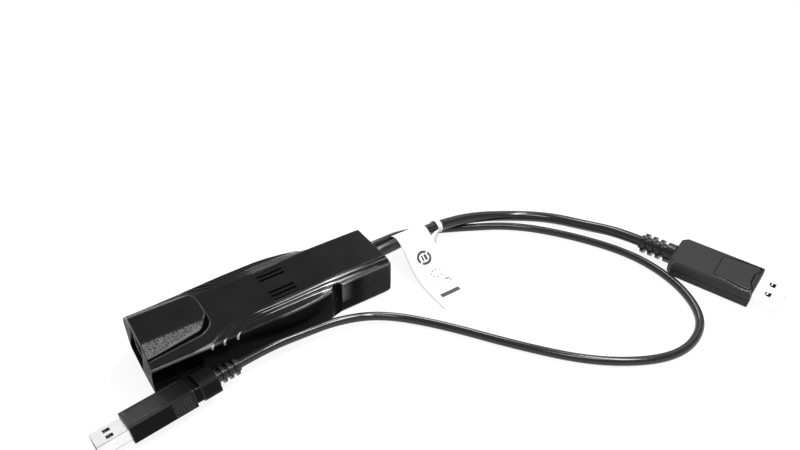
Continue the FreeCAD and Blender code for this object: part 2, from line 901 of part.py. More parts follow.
# Free-lying routes, chosen by eye; each bend is an arc tangent to its two runs.
cord_start = tail_wall_inner - size("bush_inside")
VIDEO_ROUTE = [
    (64.5, size("video_exit_side"), exit_z),
    (82.0, 4.8, 11.0),
    (103.0, 7.0, 8.8),
    (122.0, 5.2, 7.2),
    (144.5, -0.6, 2.9),
    (161.5, -13.8, 2.9),
    (172.6, -31.5, 3.4),
]
DATA_ROUTE = [
    (64.0, size("data_exit_side"), exit_z),
    (80.0, 11.3, 9.8),
    (98.0, 12.4, 3.6),
    (117.0, 5.4, 2.1),
    (141.3, -8.1, 2.1),
    (160.4, -31.6, 2.1),
    (174.6, -59.2, 2.1),
    (176.3, -83.1, 2.1),
    (170.2, -102.2, 2.1),
    (159.7, -113.8, 2.1),
    (142.6, -118.8, 2.1),
    (124.7, -114.7, 2.1),
    (103.3, -100.4, 2.1),
    (84.1, -77.3, 2.1),
    (62.1, -45.4, 2.1),
    (44.0, -27.2, 2.9),
    (24.0, -23.2, 6.9),
    (6.0, -22.4, 7.6),
]


def cord_tube(label, points, diameter):
    """A round cord along straight runs joined by tangent arcs."""
    ends = [Vector(*point) for point in points]
    edges = []
    last = ends[0]
    tightest = None
    for before, corner, after in zip(ends, ends[1:], ends[2:]):
        into = (corner - before).normalize()
        out = (after - corner).normalize()
        half_turn = into.getAngle(out) / 2
        reach = 0.45 * min((corner - before).Length, (after - corner).Length)
        radius = reach / math.tan(half_turn)
        tightest = radius if tightest is None else min(tightest, radius)
        first = corner - into * reach
        second = corner + out * reach
        to_centre = (out - into).normalize() * (radius / math.cos(half_turn))
        middle = corner + to_centre - (out - into).normalize() * radius
        edges.append(Part.LineSegment(last, first).toShape())
        edges.append(Part.Arc(first, middle, second).toShape())
        last = second
    edges.append(Part.LineSegment(last, ends[-1]).toShape())
    path = Part.Wire(edges)
    ring = Part.Wire(Part.makeCircle(diameter / 2, ends[0], ends[1] - ends[0]))
    tube = path.makePipeShell([ring], True, False)
    expected = math.pi * (diameter / 2) ** 2 * path.Length
    print(f"{label}: length {path.Length:.1f}, tightest radius {tightest:.1f},", end=" ")
    print(f"volume {tube.Volume:.0f} against {expected:.0f}")
    return tube


# Where the two plugs lie: position, turn about Z, roll about their own axis.
DP_PLACE = Placement(Vector(199.4, -113.4, 1.3), Rotation(106.98, 0, -7.28))
USB_PLACE = Placement(Vector(-71.1, -29.4, 7.2), Rotation(5.6, -2.4, -21.5))


def on_axis(place, height, along):
    """A point on a plug's own axis."""
    return place.multVec(Vector(along, 0, height))


dp_axis = size("dp_height") / 2
dp_cord_end = size("dp_length") + size("dp_boot_reach")
usb_rear = size("usb_length") + size("usb_waist_length") + size("usb_rear_length")
usb_cord_end = usb_rear + size("usb_boot_reach")


def full_route(side, route, place, height, end, last_run):
    first = (cord_start, side, exit_z)
    bend = on_axis(place, height, end + last_run)
    plug = on_axis(place, height, end)
    return [first] + route + [tuple(bend), tuple(plug)]


video_points = full_route(
    size("video_exit_side"), VIDEO_ROUTE, DP_PLACE, dp_axis, dp_cord_end, 12.0
)
data_points = full_route(size("data_exit_side"), DATA_ROUTE, USB_PLACE, 0.0, usb_cord_end, 13.0)
feature("dp_cord", cord_tube("dp_cord", video_points, size("video_cord")))
feature("usb_cord", cord_tube("usb_cord", data_points, size("data_cord")))

# ---------------------------------------------------------------- ringed boots


def make_boot(prefix, start, place):
    """A strain relief boot turned about the plug's axis, with three rings."""
    owner = body(f"{prefix}_boot")
    core, ring = f"{prefix}_boot_core", f"{prefix}_boot_ring"
    band, reach = f"{prefix}_boot_band", f"{prefix}_boot_reach"
    collar = f"{start} + {prefix}_boot_collar"
    profile = [(start, "0"), (start, ring), (collar, ring), (collar, core)]
    for index in range(3):
        middle = f"{start} + {prefix}_boot_first + {index} * {prefix}_boot_pitch"
        profile += [
            (f"{middle} - {band} / 2", core),
            (f"{middle} - {band} / 2", ring),
            (f"{middle} + {band} / 2", ring),
            (f"{middle} + {band} / 2", core),
        ]
    profile += [(f"{start} + {reach}", core), (f"{start} + {reach}", "0")]
    revolve(owner, f"{prefix}_boot_turn", outline(owner, f"{prefix}_boot_line", "XY_Plane", profile))
    owner.Placement = place


make_boot("dp", "dp_length", DP_PLACE.multiply(Placement(Vector(0, 0, dp_axis), Rotation())))
make_boot("usb", "usb_length + usb_waist_length + usb_rear_length", USB_PLACE)

# ---------------------------------------------------------------- DisplayPort plug

DP_MID = "dp_height / 2"
DP_PLAN = [
    ("0", "-dp_width / 2"),
    ("dp_length - dp_chamfer", "-dp_width / 2"),
    ("dp_length", "dp_chamfer - dp_width / 2"),
    ("dp_length", "dp_width / 2 - dp_chamfer"),
    ("dp_length - dp_chamfer", "dp_width / 2"),
    ("0", "dp_width / 2"),
]


def level_at(edge, height):
    return all(abs(v.Z - height) < 1e-6 for v in edge.Vertexes)


def latch_plan(rear, side, front):
    """Plan of the latch button, or with gaps the well that it moves in."""
    right = [
        (f"latch_length + {rear}", f"latch_rear_half + {rear}"),
        ("dp_width / 4 + 0.8", f"latch_front_half - 0.2 + {side}"),
        (f"2.2 - {front}", f"latch_front_half + {side} * 0.8"),
        (f"1.0 - {front}", "latch_front_half - 1.6"),
        (f"2.8 - {front}", "3"),
    ]
    left = [(x, f"-({y})") for x, y in reversed(right)]
    return right + left


def make_dp_covers():
    lower = body("dp_lower_cover")
    lower_pad = pad(lower, "DpLowerPad", outline(lower, "DpLowerPlan", "XY_Plane", DP_PLAN), "dp_seam")
    round_edges(lower, "DpLowerRound", lower_pad, lambda e: level_at(e, 0), "dp_round")
    seat = rectangle(
        lower, "DpLowerSeat", "YZ_Plane",
        ("-dp_shell_width / 2", f"{DP_MID} - dp_shell_height / 2"), ("dp_shell_width / 2", "dp_seam"),
    )
    pocket(lower, "DpLowerSeatCut", seat, "dp_shell_seat", True)
    lower.Placement = DP_PLACE

    upper = body("dp_upper_cover")
    plan = outline(upper, "DpUpperPlan", "XY_Plane", DP_PLAN, "dp_seam")
    upper_pad = pad(upper, "DpUpperPad", plan, "dp_height - dp_seam")
    top = value("dp_height")
    round_edges(upper, "DpUpperRound", upper_pad, lambda e: level_at(e, top), "dp_round")
    seat = rectangle(
        upper, "DpUpperSeat", "YZ_Plane",
        ("-dp_shell_width / 2", "dp_seam"), ("dp_shell_width / 2", f"{DP_MID} + dp_shell_height / 2"),
    )
    pocket(upper, "DpUpperSeatCut", seat, "dp_shell_seat", True)
    well = outline(upper, "LatchWell", "XY_Plane", latch_plan("latch_rear_gap", "latch_side_gap", "latch_gap"), "dp_height")
    pocket(upper, "LatchWellCut", well, "latch_thick + latch_drop")
    way = rectangle(upper, "PostWay", "XY_Plane", ("2.4", "-2.6"), ("6", "2.6"), "dp_height")
    pocket(upper, "PostWayCut", way, "dp_height - dp_seam")
    upper.Placement = DP_PLACE


def make_latch():
    button = body("dp_latch_button")
    under = "dp_height - latch_thick + latch_proud"
    plan = outline(button, "ButtonPlan", "XY_Plane", latch_plan("0", "0", "0"), under)
    pressed = pad(button, "ButtonPad", plan, "latch_thick")
    top = value("dp_height + latch_proud")
    round_edges(button, "ButtonRound", pressed, lambda e: level_at(e, top), "latch_gap")
    button.Placement = DP_PLACE

    thick = size("blade_thick")
    roof = dp_axis + size("dp_shell_height") / 2
    level = roof - size("dp_sheet") - 2 * thick
    post_top = value(under)
    hooks = box(3.2, 5.2, -2.0, 2.0, level, post_top)
    reach = size("hook_side") + size("hook_width") / 2
    hooks = hooks.fuse(box(3.2, 5.2, -reach, reach, level - thick / 2, level + thick / 2))
    tip = -size("hook_station")
    for sign in (-1, 1):
        y_low = sign * size("hook_side") - size("hook_width") / 2
        profile = [
            Vector(5.2, y_low, level - thick / 2),
            Vector(5.2, y_low, level + thick / 2),
            Vector(tip + 1.6, y_low, level + thick / 2),
            Vector(tip + 1.4, y_low, roof + size("hook_rise")),
            Vector(tip + 0.8, y_low, roof + size("hook_rise")),
            Vector(tip, y_low, level - thick / 2),
        ]
        hooks = hooks.fuse(prism(profile, Vector(0, size("hook_width"), 0)))
    feature("dp_latch_hooks", solid_of(hooks), DP_PLACE)


def make_dp_shell():
    owner = body("dp_shell")
    low, high = f"{DP_MID} - dp_shell_height / 2", f"{DP_MID} + dp_shell_height / 2"
    half = "dp_shell_width / 2"

    def keyed(inset):
        return [
            (f"{inset} - {half} + dp_key", f"{low} + {inset}"),
            (f"{half} - {inset}", f"{low} + {inset}"),
            (f"{half} - {inset}", f"{high} - {inset}"),
            (f"{inset} - {half}", f"{high} - {inset}"),
            (f"{inset} - {half}", f"{low} + {inset} + dp_key"),
        ]

    reach = "-dp_shell_reach"
    length = "dp_shell_reach + dp_shell_seat"
    pad(owner, "DpShellPad", outline(owner, "DpShellLine", "YZ_Plane", keyed("0"), reach), length)
    inside = outline(owner, "DpShellInside", "YZ_Plane", keyed("dp_sheet"), reach)
    pocket(owner, "DpShellOpen", inside, length, True)
    for index, sign in enumerate(("", "-")):
        centre = f"{sign}hook_side"
        window = rectangle(
            owner, f"HookWindow{index}", "XY_Plane",
            ("-hook_station - 0.6", f"{centre} - hook_width / 2 - 0.6"),
            ("2.2 - hook_station", f"{centre} + hook_width / 2 + 0.6"), high,
        )
        pocket(owner, f"HookWindowCut{index}", window, "2 * dp_sheet")
    way = rectangle(owner, "ShellPostWay", "XY_Plane", ("2.4", "-2.6"), ("6", "2.6"), high)
    pocket(owner, "ShellPostCut", way, "2 * dp_sheet")
    owner.Placement = DP_PLACE


def make_dp_insides():
    sheet_thick = size("dp_sheet")
    half = size("dp_shell_width") / 2 - sheet_thick
    low = dp_axis - size("dp_shell_height") / 2 + sheet_thick
    high = dp_axis + size("dp_shell_height") / 2 - sheet_thick
    start = -size("dp_shell_reach") + 0.6
    end = size("dp_shell_seat")
    key = size("dp_key")
    profile = [
        Vector(start, -half + key, low),
        Vector(start, half, low),
        Vector(start, half, high),
        Vector(start, -half, high),
        Vector(start, -half, low + key),
    ]
    core = prism(profile, Vector(end - start, 0, 0))
    slot_half, slot_rise = size("dp_slot_width") / 2, size("dp_slot_height") / 2
    slot_end = start + size("dp_slot_depth")
    core = core.cut(
        box(start - 1, slot_end, -slot_half, slot_half, dp_axis - slot_rise, dp_axis + slot_rise)
    )
    blade_half = size("hook_width") / 2 + 0.4
    floor = high - 2 * size("blade_thick") - size("latch_drop") - 0.4
    for sign in (-1, 1):
        middle = sign * size("hook_side")
        back = -size("hook_station") - 0.8
        core = core.cut(box(back, 6.2, middle - blade_half, middle + blade_half, floor, high + 1))
    reach = size("hook_side") + blade_half
    core = core.cut(box(2.2, 6.2, -reach, reach, floor, high + 1))
    feature("dp_insulator", solid_of(core), DP_PLACE)

    strips = []
    for index in range(10):
        y = (index - 4.5) * size("dp_pitch") - 0.25
        floor_z = dp_axis - slot_rise
        strips.append(box(start + 0.8, slot_end, y, y + 0.5, floor_z, floor_z + 0.25))
        roof_z = dp_axis + slot_rise
        strips.append(box(start + 0.8, start + 3.6, y, y + 0.5, roof_z - 0.25, roof_z))
    feature("dp_contacts", Part.makeCompound(strips), DP_PLACE)


make_dp_covers()
make_latch()
make_dp_shell()
make_dp_insides()

# ---------------------------------------------------------------- USB plug


def make_usb_overmold():
    owner = body("usb_overmold")

    def centred(name, width, height, lift):
        low = (f"-({width}) / 2", f"-({height}) / 2")
        high = (f"({width}) / 2", f"({height}) / 2")
        return rectangle(owner, name, "YZ_Plane", low, high, lift)

    grip = pad(owner, "UsbGrip", centred("UsbGripLine", "usb_width", "usb_height", "0"), "usb_length")
    round_edges(owner, "UsbGripRound", grip, along_x, "usb_round")
    waist_width = "usb_rear_width - 2 * usb_waist_inset"
    waist_height = "usb_height - 2 * usb_waist_inset"
    waist = centred("UsbWaistLine", waist_width, waist_height, "usb_length")
    pad(owner, "UsbWaist", waist, "usb_waist_length")
    rear_start = "usb_length + usb_waist_length"
    rear_line = centred("UsbRearLine", "usb_rear_width", "usb_rear_height", rear_start)
    rear = pad(owner, "UsbRear", rear_line, "usb_rear_length")
    behind = value(rear_start)
    round_edges(
        owner, "UsbRearRound", rear,
        lambda e: along_x(e) and min(v.X for v in e.Vertexes) > behind - 1e-6, "usb_rear_round",
    )
    seat = centred("UsbSeat", "usb_shell_width", "usb_shell_height", "0")
    pocket(owner, "UsbSeatCut", seat, "usb_shell_seat", True)
    panel_side = "usb_width / 2 - usb_round - 0.4"
    panel = rectangle(
        owner, "UsbPanel", "XY_Plane",
        ("usb_panel_rim", f"-({panel_side})"), ("usb_length - usb_panel_rim", panel_side), "usb_height / 2",
    )
    pocket(owner, "UsbPanelCut", panel, "usb_panel_depth")
    for name, lift, back in (("Near", "usb_width / 2", False), ("Far", "-usb_width / 2", True)):
        first = "usb_length - usb_grip_pitch"
        groove = rectangle(
            owner, f"UsbGrip{name}", "XZ_Plane",
            (f"{first} - usb_grip_pitch / 2", "usb_round - usb_height / 2"),
            (first, "usb_height / 2 - usb_round"), lift,
        )
        cut = pocket(owner, f"UsbGripCut{name}", groove, "usb_grip_depth", back)
        owner.Tip = cut
        doc.recompute()
        rows = owner.newObject("PartDesign::LinearPattern", f"UsbGripRows{name}")
        rows.Originals = [cut]
        rows.Direction = (origin_plane(owner, "X_Axis"), [""])
        rows.Reversed = True
        rows.setExpression("Length", bound("6 * usb_grip_pitch"))
        rows.Occurrences = 7
        owner.Tip = rows
    owner.Placement = USB_PLACE


def make_usb_shell():
    owner = body("usb_shell")
    reach = "-usb_shell_reach"
    length = "usb_shell_reach + usb_shell_seat"
    half, rise = "usb_shell_width / 2", "usb_shell_height / 2"
    line = rectangle(owner, "UsbShellLine", "YZ_Plane", (f"-{half}", f"-{rise}"), (half, rise), reach)
    pad(owner, "UsbShellPad", line, length)
    inside = rectangle(
        owner, "UsbShellInside", "YZ_Plane",
        (f"usb_sheet - {half}", f"usb_sheet - {rise}"), (f"{half} - usb_sheet", f"{rise} - usb_sheet"),
        reach,
    )
    pocket(owner, "UsbShellOpen", inside, length, True)
    for index, (low, high) in enumerate((("-3.9", "-1.4"), ("1.4", "3.9"))):
        window = rectangle(owner, f"UsbWindow{index}", "XY_Plane", ("-7.5", low), ("-5", high), rise)
        pocket(owner, f"UsbWindowCut{index}", window, "usb_shell_height")
    owner.Placement = USB_PLACE


def make_usb_insides():
    half = size("usb_shell_width") / 2 - size("usb_sheet")
    low = -size("usb_shell_height") / 2 + size("usb_sheet")
    start, end = -size("usb_shell_reach") + 0.4, size("usb_shell_seat")
    top = low + size("usb_tongue")
    tongue = box(start, end, -half, half, low, top)
    root = box(1.0, end, -half, half, top, -low)
    feature("usb_insulator", solid_of(tongue.fuse(root)), USB_PLACE)
    strips = []
    for index, reach in enumerate((0.8, 1.8, 1.8, 0.8)):
        y = (index - 1.5) * 2.2 - 0.5
        strips.append(box(start + reach, 0.9, y, y + 1.0, top, top + 0.2))
    feature("usb_contacts", Part.makeCompound(strips), USB_PLACE)


make_usb_overmold()
make_usb_shell()
make_usb_insides()

# ---------------------------------------------------------------- cable tag


def film_wire(x, points, film):
    """Closed outline of a thin film that follows points in the plane at x."""
    upper, lower = [], []
    for index, (y, z) in enumerate(points):
        before = points[max(index - 1, 0)]
        after = points[min(index + 1, len(points) - 1)]
        along = Vector(0, after[0] - before[0], after[1] - before[1]).normalize()
        normal = Vector(0, -along.z, along.y) * (film / 2)
        middle = Vector(x, y, z)
        upper.append(middle + normal)
        lower.append(middle - normal)
    loop = upper + lower[::-1]
    return Part.makePolygon(loop + loop[:1])


def band_face(x, film_out):
    """Area inside a band drawn round both cords at a station along X."""
    video = (Vector(x, 6.4, 9.25), size("video_cord") / 2 + film_out)
    data = (Vector(x, 11.4, 4.0), size("data_cord") / 2 + film_out)
    across = data[0] - video[0]
    lean = math.asin((video[1] - data[1]) / across.Length)
    heading = math.atan2(across.z, across.y)
    faces = []
    corners = []
    for sign in (1, -1):
        angle = heading + sign * (math.pi / 2 - lean)
        outward = Vector(0, math.cos(angle), math.sin(angle))
        corners.append((video[0] + outward * video[1], data[0] + outward * data[1]))
    for centre, radius in (video, data):
        faces.append(Part.Face(Part.Wire(Part.makeCircle(radius, centre, Vector(1, 0, 0)))))
    (video_a, data_a), (video_b, data_b) = corners
    faces.append(Part.Face(Part.makePolygon([video_a, data_a, data_b, video_b, video_a])))
    return faces[0].multiFuse(faces[1:]).removeSplitter()


def make_tag():
    film = size("tag_film")
    start = 73.0
    end = start + size("tag_width")
    near_line = [(6.4, 14.6), (2.4, 16.3), (-2.2, 14.6), (-12.0, 5.0), (-20.0, 0.7), (-38.0, 0.2)]
    far_line = [(9.4, 11.8), (5.9, 13.2), (1.8, 11.4), (-10.0, 3.6), (-20.0, 0.7), (-38.0, 0.2)]
    film_sheet = Part.makeLoft(
        [film_wire(start, near_line, film), film_wire(end, far_line, film)], True, True
    )
    strap_x = end + 5.0
    gap = 0.5
    outer = band_face(strap_x, gap + film).extrude(Vector(size("strap_width"), 0, 0))
    inner = band_face(strap_x - 1, gap).extrude(Vector(size("strap_width") + 2, 0, 0))
    band = outer.cut(inner)
    lip = [
        film_wire(end - 0.5, [(1.8, 11.4), (-1.6, 8.8)], film),
        film_wire(strap_x + 0.5, [(2.78, 10.4), (2.78, 7.8)], film),
    ]
    bridge = Part.makeLoft(lip, True, True)
    return film_sheet.fuse(bridge).fuse(band)


feature("cable_tag", solid_of(make_tag()))

# ---------------------------------------------------------------- checks and export

doc.recompute()
os.makedirs("parts", exist_ok=True)
for made in doc.Objects:
    if "Invalid" in made.State or "Error" in made.State:
        raise ValueError(f"{made.Label} did not rebuild: {made.State}")
for made in PARTS:
    if made.Shape.isNull() or not made.Shape.isValid():
        raise ValueError(f"{made.Label} has no valid shape")
    made.Shape.exportStep(f"parts/{made.Label}.step")
    bounds = made.Shape.BoundBox
    print(
        f"{made.Label}: {len(made.Shape.Solids)} solid, {made.Shape.Volume:.1f} mm3,",
        f"x {bounds.XMin:.1f} {bounds.XMax:.1f}, y {bounds.YMin:.1f} {bounds.YMax:.1f},",
        f"z {bounds.ZMin:.2f} {bounds.ZMax:.2f}",
    )
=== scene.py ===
"""Scene of the KVM adapter dongle: looks, cords, tag, floor, light and camera.

X runs from the network socket to the cord end and Z is up. Lengths are in millimetres, which mm(),
step() and MM turn into metres, unless a comment says otherwise.
"""

import json
import math

import bmesh
import bpy
from mathutils import Matrix, Vector


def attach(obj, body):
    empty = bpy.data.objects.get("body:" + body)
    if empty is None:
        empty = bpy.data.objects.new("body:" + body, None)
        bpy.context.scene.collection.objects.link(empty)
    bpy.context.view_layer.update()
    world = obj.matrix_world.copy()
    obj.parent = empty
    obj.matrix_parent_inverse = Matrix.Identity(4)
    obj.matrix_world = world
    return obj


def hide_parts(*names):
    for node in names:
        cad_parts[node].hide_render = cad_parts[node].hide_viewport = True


MM = 0.001
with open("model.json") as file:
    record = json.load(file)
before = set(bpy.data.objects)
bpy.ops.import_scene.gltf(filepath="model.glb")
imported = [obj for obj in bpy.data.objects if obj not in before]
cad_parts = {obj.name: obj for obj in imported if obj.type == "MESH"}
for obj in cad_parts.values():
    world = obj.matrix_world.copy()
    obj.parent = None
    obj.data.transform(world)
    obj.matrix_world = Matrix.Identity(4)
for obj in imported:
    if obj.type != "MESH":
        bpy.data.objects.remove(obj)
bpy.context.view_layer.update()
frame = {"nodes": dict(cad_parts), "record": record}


def mm(*point):
    """A point in millimetres as a vector in metres."""
    return Vector(point) * MM


# The case: its end at the network socket, the hump's top and rear, and what each side of the hump
# comes in by for each millimetre from the socket. The facets start FACET_START from the middle and
# slope by FACET_SLOPE degrees.
SOCKET_END = -57.4
HUMP_TOP = 25.0
HUMP_REAR = (-30.3, -31.2)
HUMP_TAPER = 0.15
FACET_START = 8.3
FACET_SLOPE = 31.0

# The flow grooves of each side, where their painted highlight lies: distance from the middle,
# radius of the swept end, X of the sweep's centre, and X at both ends of the straight run.
FLOW_LINES = (12.28, 13.68, 15.58)
FLOW_BENDS = (30.0, 24.0, 18.0)
FLOW_TURNS = (-12.5, -11.0, -9.5)
FLOW_RUNS = ((-9.0, 46.0), (-7.0, 44.0), (-5.0, 35.0))

# The video plug: height of its seam, the direction across it in plan with the place of its middle
# line along that, and where the covers' outer edges start, from that line.
PLUG_SEAM = 5.0
VIDEO_AXIS = (0.956, 0.2925, 156.85)
COVER_EDGE = (8.0, 8.7)

# Greys: the painted highlight on the case's polished edges, the painted shade round its vent slots,
# the painted highlight along the lower edges of the facets, and the painted highlight in the
# grooves, with the share of metal in that highlight; the painted shade in the video plug's folds,
# and its seam; and the painted dark reflection along the folds of the USB shell.
CASE_EDGE_HIGHLIGHT_TONE = 0.05
VENT_SHADE_TONE = 0.001
RIM_HIGHLIGHT_TONE = 0.2
GROOVE_HIGHLIGHT_TONE = 0.7
GROOVE_METAL = 0.25
FOLD_SHADE_TONE = 0.002
SEAM_TONE = 0.006
SHELL_FOLD_REFLECTION_TONE = 0.06

# Waves to the metre of the slow drift and the fine grain, the drift's gain on a plug's greys, and
# the fade between the painted shading of the sides and of the upper faces, as how far they face up
# (low, high and the unit).
DRIFT_SCALE = 60.0
GRAIN_SCALE = 2600.0
DRIFT_GAIN = ((0.3, 0.9), (0.7, 1.12))
FACING_UP = (0.45, 0.8, 1.0)

# ---------------------------------------------------------------- shader building


def new_material(name):
    """A node material and its pieces: tree, shader, object coordinates."""
    material = bpy.data.materials.new(name)
    material.use_nodes = True
    tree = material.node_tree
    shader = tree.nodes["Principled BSDF"]
    place = tree.nodes.new("ShaderNodeTexCoord")
    return material, tree, shader, place.outputs["Object"]


def noise(tree, place, scale, detail=3.0, rough=0.55):
    """Noise over the object, with its scale in waves to the metre."""
    node = tree.nodes.new("ShaderNodeTexNoise")
    node.inputs["Scale"].default_value = scale
    node.inputs["Detail"].default_value = detail
    node.inputs["Roughness"].default_value = rough
    tree.links.new(place, node.inputs["Vector"])
    return node.outputs["Fac"]


def ramp(tree, source, stops):
    """A colour ramp from (place, grey or colour) stops."""
    node = tree.nodes.new("ShaderNodeValToRGB")
    ramp_stops = node.color_ramp.elements
    while len(ramp_stops) < len(stops):
        ramp_stops.new(0.5)
    for stop, (place, colour) in zip(ramp_stops, stops):
        stop.position = place
        if isinstance(colour, (int, float)):
            colour = (colour, colour, colour)
        stop.color = (*colour, 1.0)
    tree.links.new(source, node.inputs["Fac"])
    return node.outputs["Color"]


def mix(tree, mask, first, second):
    """Colour mix; first and second are sockets or greys."""
    node = tree.nodes.new("ShaderNodeMix")
    node.data_type = "RGBA"
    tree.links.new(mask, node.inputs["Factor"])
    for socket, value in ((node.inputs[6], first), (node.inputs[7], second)):
        if isinstance(value, (int, float)):
            socket.default_value = (value, value, value, 1.0)
        else:
            tree.links.new(value, socket)
    return node.outputs[2]


def maths(tree, operation, *values):
    """One Math node over sockets and numbers."""
    node = tree.nodes.new("ShaderNodeMath")
    node.operation = operation
    for socket, value in zip(node.inputs, values):
        if isinstance(value, (int, float)):
            socket.default_value = value
        else:
            tree.links.new(value, socket)
    return node.outputs["Value"]


def apart_from(tree, source, middle):
    """Distance of a socket's value from a place in millimetres."""
    return maths(tree, "ABSOLUTE", maths(tree, "SUBTRACT", source, middle * MM))


def step(tree, source, low, high, unit=MM):
    """Smooth rise from 0 at low to 1 at high; low may be the larger one."""
    node = tree.nodes.new("ShaderNodeMapRange")
    node.interpolation_type = "SMOOTHSTEP"
    tree.links.new(source, node.inputs["Value"])
    node.inputs["From Min"].default_value = low * unit
    node.inputs["From Max"].default_value = high * unit
    return node.outputs["Result"]


def faded(tree, mask, *fades):
    """A mask times a step for each fade, given as (source, low, high)."""
    for fade in fades:
        mask = maths(tree, "MULTIPLY", mask, step(tree, *fade))
    return mask


def axes(tree, vector):
    """The X, Y and Z sockets of a vector."""
    node = tree.nodes.new("ShaderNodeSeparateXYZ")
    tree.links.new(vector, node.inputs[0])
    return node.outputs


def upward(tree):
    """How far the surface faces up, from -1 to 1."""
    shape = tree.nodes.new("ShaderNodeNewGeometry")
    return axes(tree, shape.outputs["Normal"])[2]


def soft_edge(tree, radius):
    """Normals that round the sharp edges off by a radius, or None without one."""
    if not radius:
        return None
    bevel = tree.nodes.new("ShaderNodeBevel")
    bevel.samples = 6
    bevel.inputs["Radius"].default_value = radius * MM
    return bevel.outputs["Normal"]


def fold_mask(tree, radius):
    """1 along the sharp edges, and the normals that round them off."""
    wide = soft_edge(tree, radius)
    shape = tree.nodes.new("ShaderNodeNewGeometry")
    along = tree.nodes.new("ShaderNodeVectorMath")
    along.operation = "DOT_PRODUCT"
    tree.links.new(wide, along.inputs[0])
    tree.links.new(shape.outputs["Normal"], along.inputs[1])
    return step(tree, along.outputs["Value"], 0.99, 0.93, 1.0), wide


def polish(tree, shader, radius, mask=None, curve=None):
    """A clear polish on the rounded edges, which catches the lamps; returns the edge mask."""
    edge, wide = fold_mask(tree, radius)
    if curve is not None:
        edge = maths(tree, "MAXIMUM", edge, curve)
    if mask is not None:
        edge = maths(tree, "MULTIPLY", edge, maths(tree, "MAXIMUM", mask, 0.0))
    tree.links.new(edge, shader.inputs["Coat Weight"])
    tree.links.new(wide, shader.inputs["Coat Normal"])
    shader.inputs["Coat Roughness"].default_value = 0.14
    return edge


def add_bump(tree, shader, height, strength, distance, last=None):
    """A bump over the normals in last, with its distance in metres."""
    bump = tree.nodes.new("ShaderNodeBump")
    bump.inputs["Strength"].default_value = strength
    bump.inputs["Distance"].default_value = distance
    tree.links.new(height, bump.inputs["Height"])
    if last is not None:
        tree.links.new(last, bump.inputs["Normal"])
    tree.links.new(bump.outputs["Normal"], shader.inputs["Normal"])


# ---------------------------------------------------------------- materials


def moulded(name, dark, light, rough_low, rough_high, grain, bump, edge=0.0):
    """Moulded plastic or rubber: slow colour and gloss drift and a fine spark-eroded grain."""
    material, tree, shader, place = new_material(name)
    slow = noise(tree, place, DRIFT_SCALE)
    fine = noise(tree, place, grain, 2.0, 0.7)
    rough = ramp(tree, slow, [(0.3, rough_low), (0.7, rough_high)])
    tree.links.new(ramp(tree, slow, [(0.3, dark), (0.7, light)]), shader.inputs["Base Color"])
    tree.links.new(rough, shader.inputs["Roughness"])
    add_bump(tree, shader, fine, bump, 0.00005, soft_edge(tree, edge))
    return material


def metal(name, colour, rough_low, rough_high, edge=0.0):
    """Plated sheet metal with fine drawn lines; with an edge it has a painted dark reflection that
    far from its folds.
    """
    material, tree, shader, place = new_material(name)
    stretch = tree.nodes.new("ShaderNodeMapping")
    stretch.inputs["Scale"].default_value = (1.0, 0.08, 1.0)
    tree.links.new(place, stretch.inputs["Vector"])
    lines = noise(tree, stretch.outputs["Vector"], 900.0, 2.0, 0.6)
    worn = noise(tree, place, 120.0)
    shade = [c * 0.93 for c in colour]
    tone = ramp(tree, worn, [(0.35, shade), (0.65, colour)])
    if edge:
        # A painted dark reflection along the folds.
        tone = mix(tree, fold_mask(tree, edge)[0], tone, SHELL_FOLD_REFLECTION_TONE)
    rough = ramp(tree, lines, [(0.3, rough_low), (0.7, rough_high)])
    tree.links.new(tone, shader.inputs["Base Color"])
    tree.links.new(rough, shader.inputs["Roughness"])
    shader.inputs["Metallic"].default_value = 1.0
    add_bump(tree, shader, lines, 0.08, 0.00002)
    return material


def board_material():
    """Green solder mask over faint traces."""
    material, tree, shader, place = new_material("board")
    cells = tree.nodes.new("ShaderNodeTexVoronoi")
    cells.distance = "MANHATTAN"
    cells.inputs["Scale"].default_value = 400.0
    tree.links.new(place, cells.inputs["Vector"])
    cell = cells.outputs["Distance"]
    mask = ramp(tree, cell, [(0.2, (0.02, 0.13, 0.05)), (0.5, (0.03, 0.2, 0.09))])
    tree.links.new(mask, shader.inputs["Base Color"])
    shader.inputs["Roughness"].default_value = 0.35
    add_bump(tree, shader, cell, 0.1, 0.00003)
    return material


def facet_masks(tree, x, off, z):
    """The blasted facets of the hump, and the painted highlight along their lower edges."""
    slope = math.radians(FACET_SLOPE)
    down = maths(tree, "MULTIPLY", maths(tree, "SUBTRACT", z, HUMP_TOP * MM), math.cos(slope))
    out = maths(tree, "MULTIPLY", maths(tree, "SUBTRACT", off, FACET_START * MM), math.sin(slope))
    depth = maths(tree, "ABSOLUTE", maths(tree, "ADD", down, out))
    facet = step(tree, depth, 0.25, 0.1)
    taper = maths(tree, "MULTIPLY", maths(tree, "ADD", x, -SOCKET_END * MM), HUMP_TAPER)
    wall = maths(tree, "ADD", off, taper)
    facet = faded(
        tree, facet, (off, 8.7, 9.0), (wall, 15.6, 15.3), (x, -55.6, -55.2), (x, *HUMP_REAR))
    rim_highlight = faded(tree, step(tree, depth, 0.5, 0.3), (wall, 14.5, 14.75), (x, *HUMP_REAR))
    return facet, rim_highlight


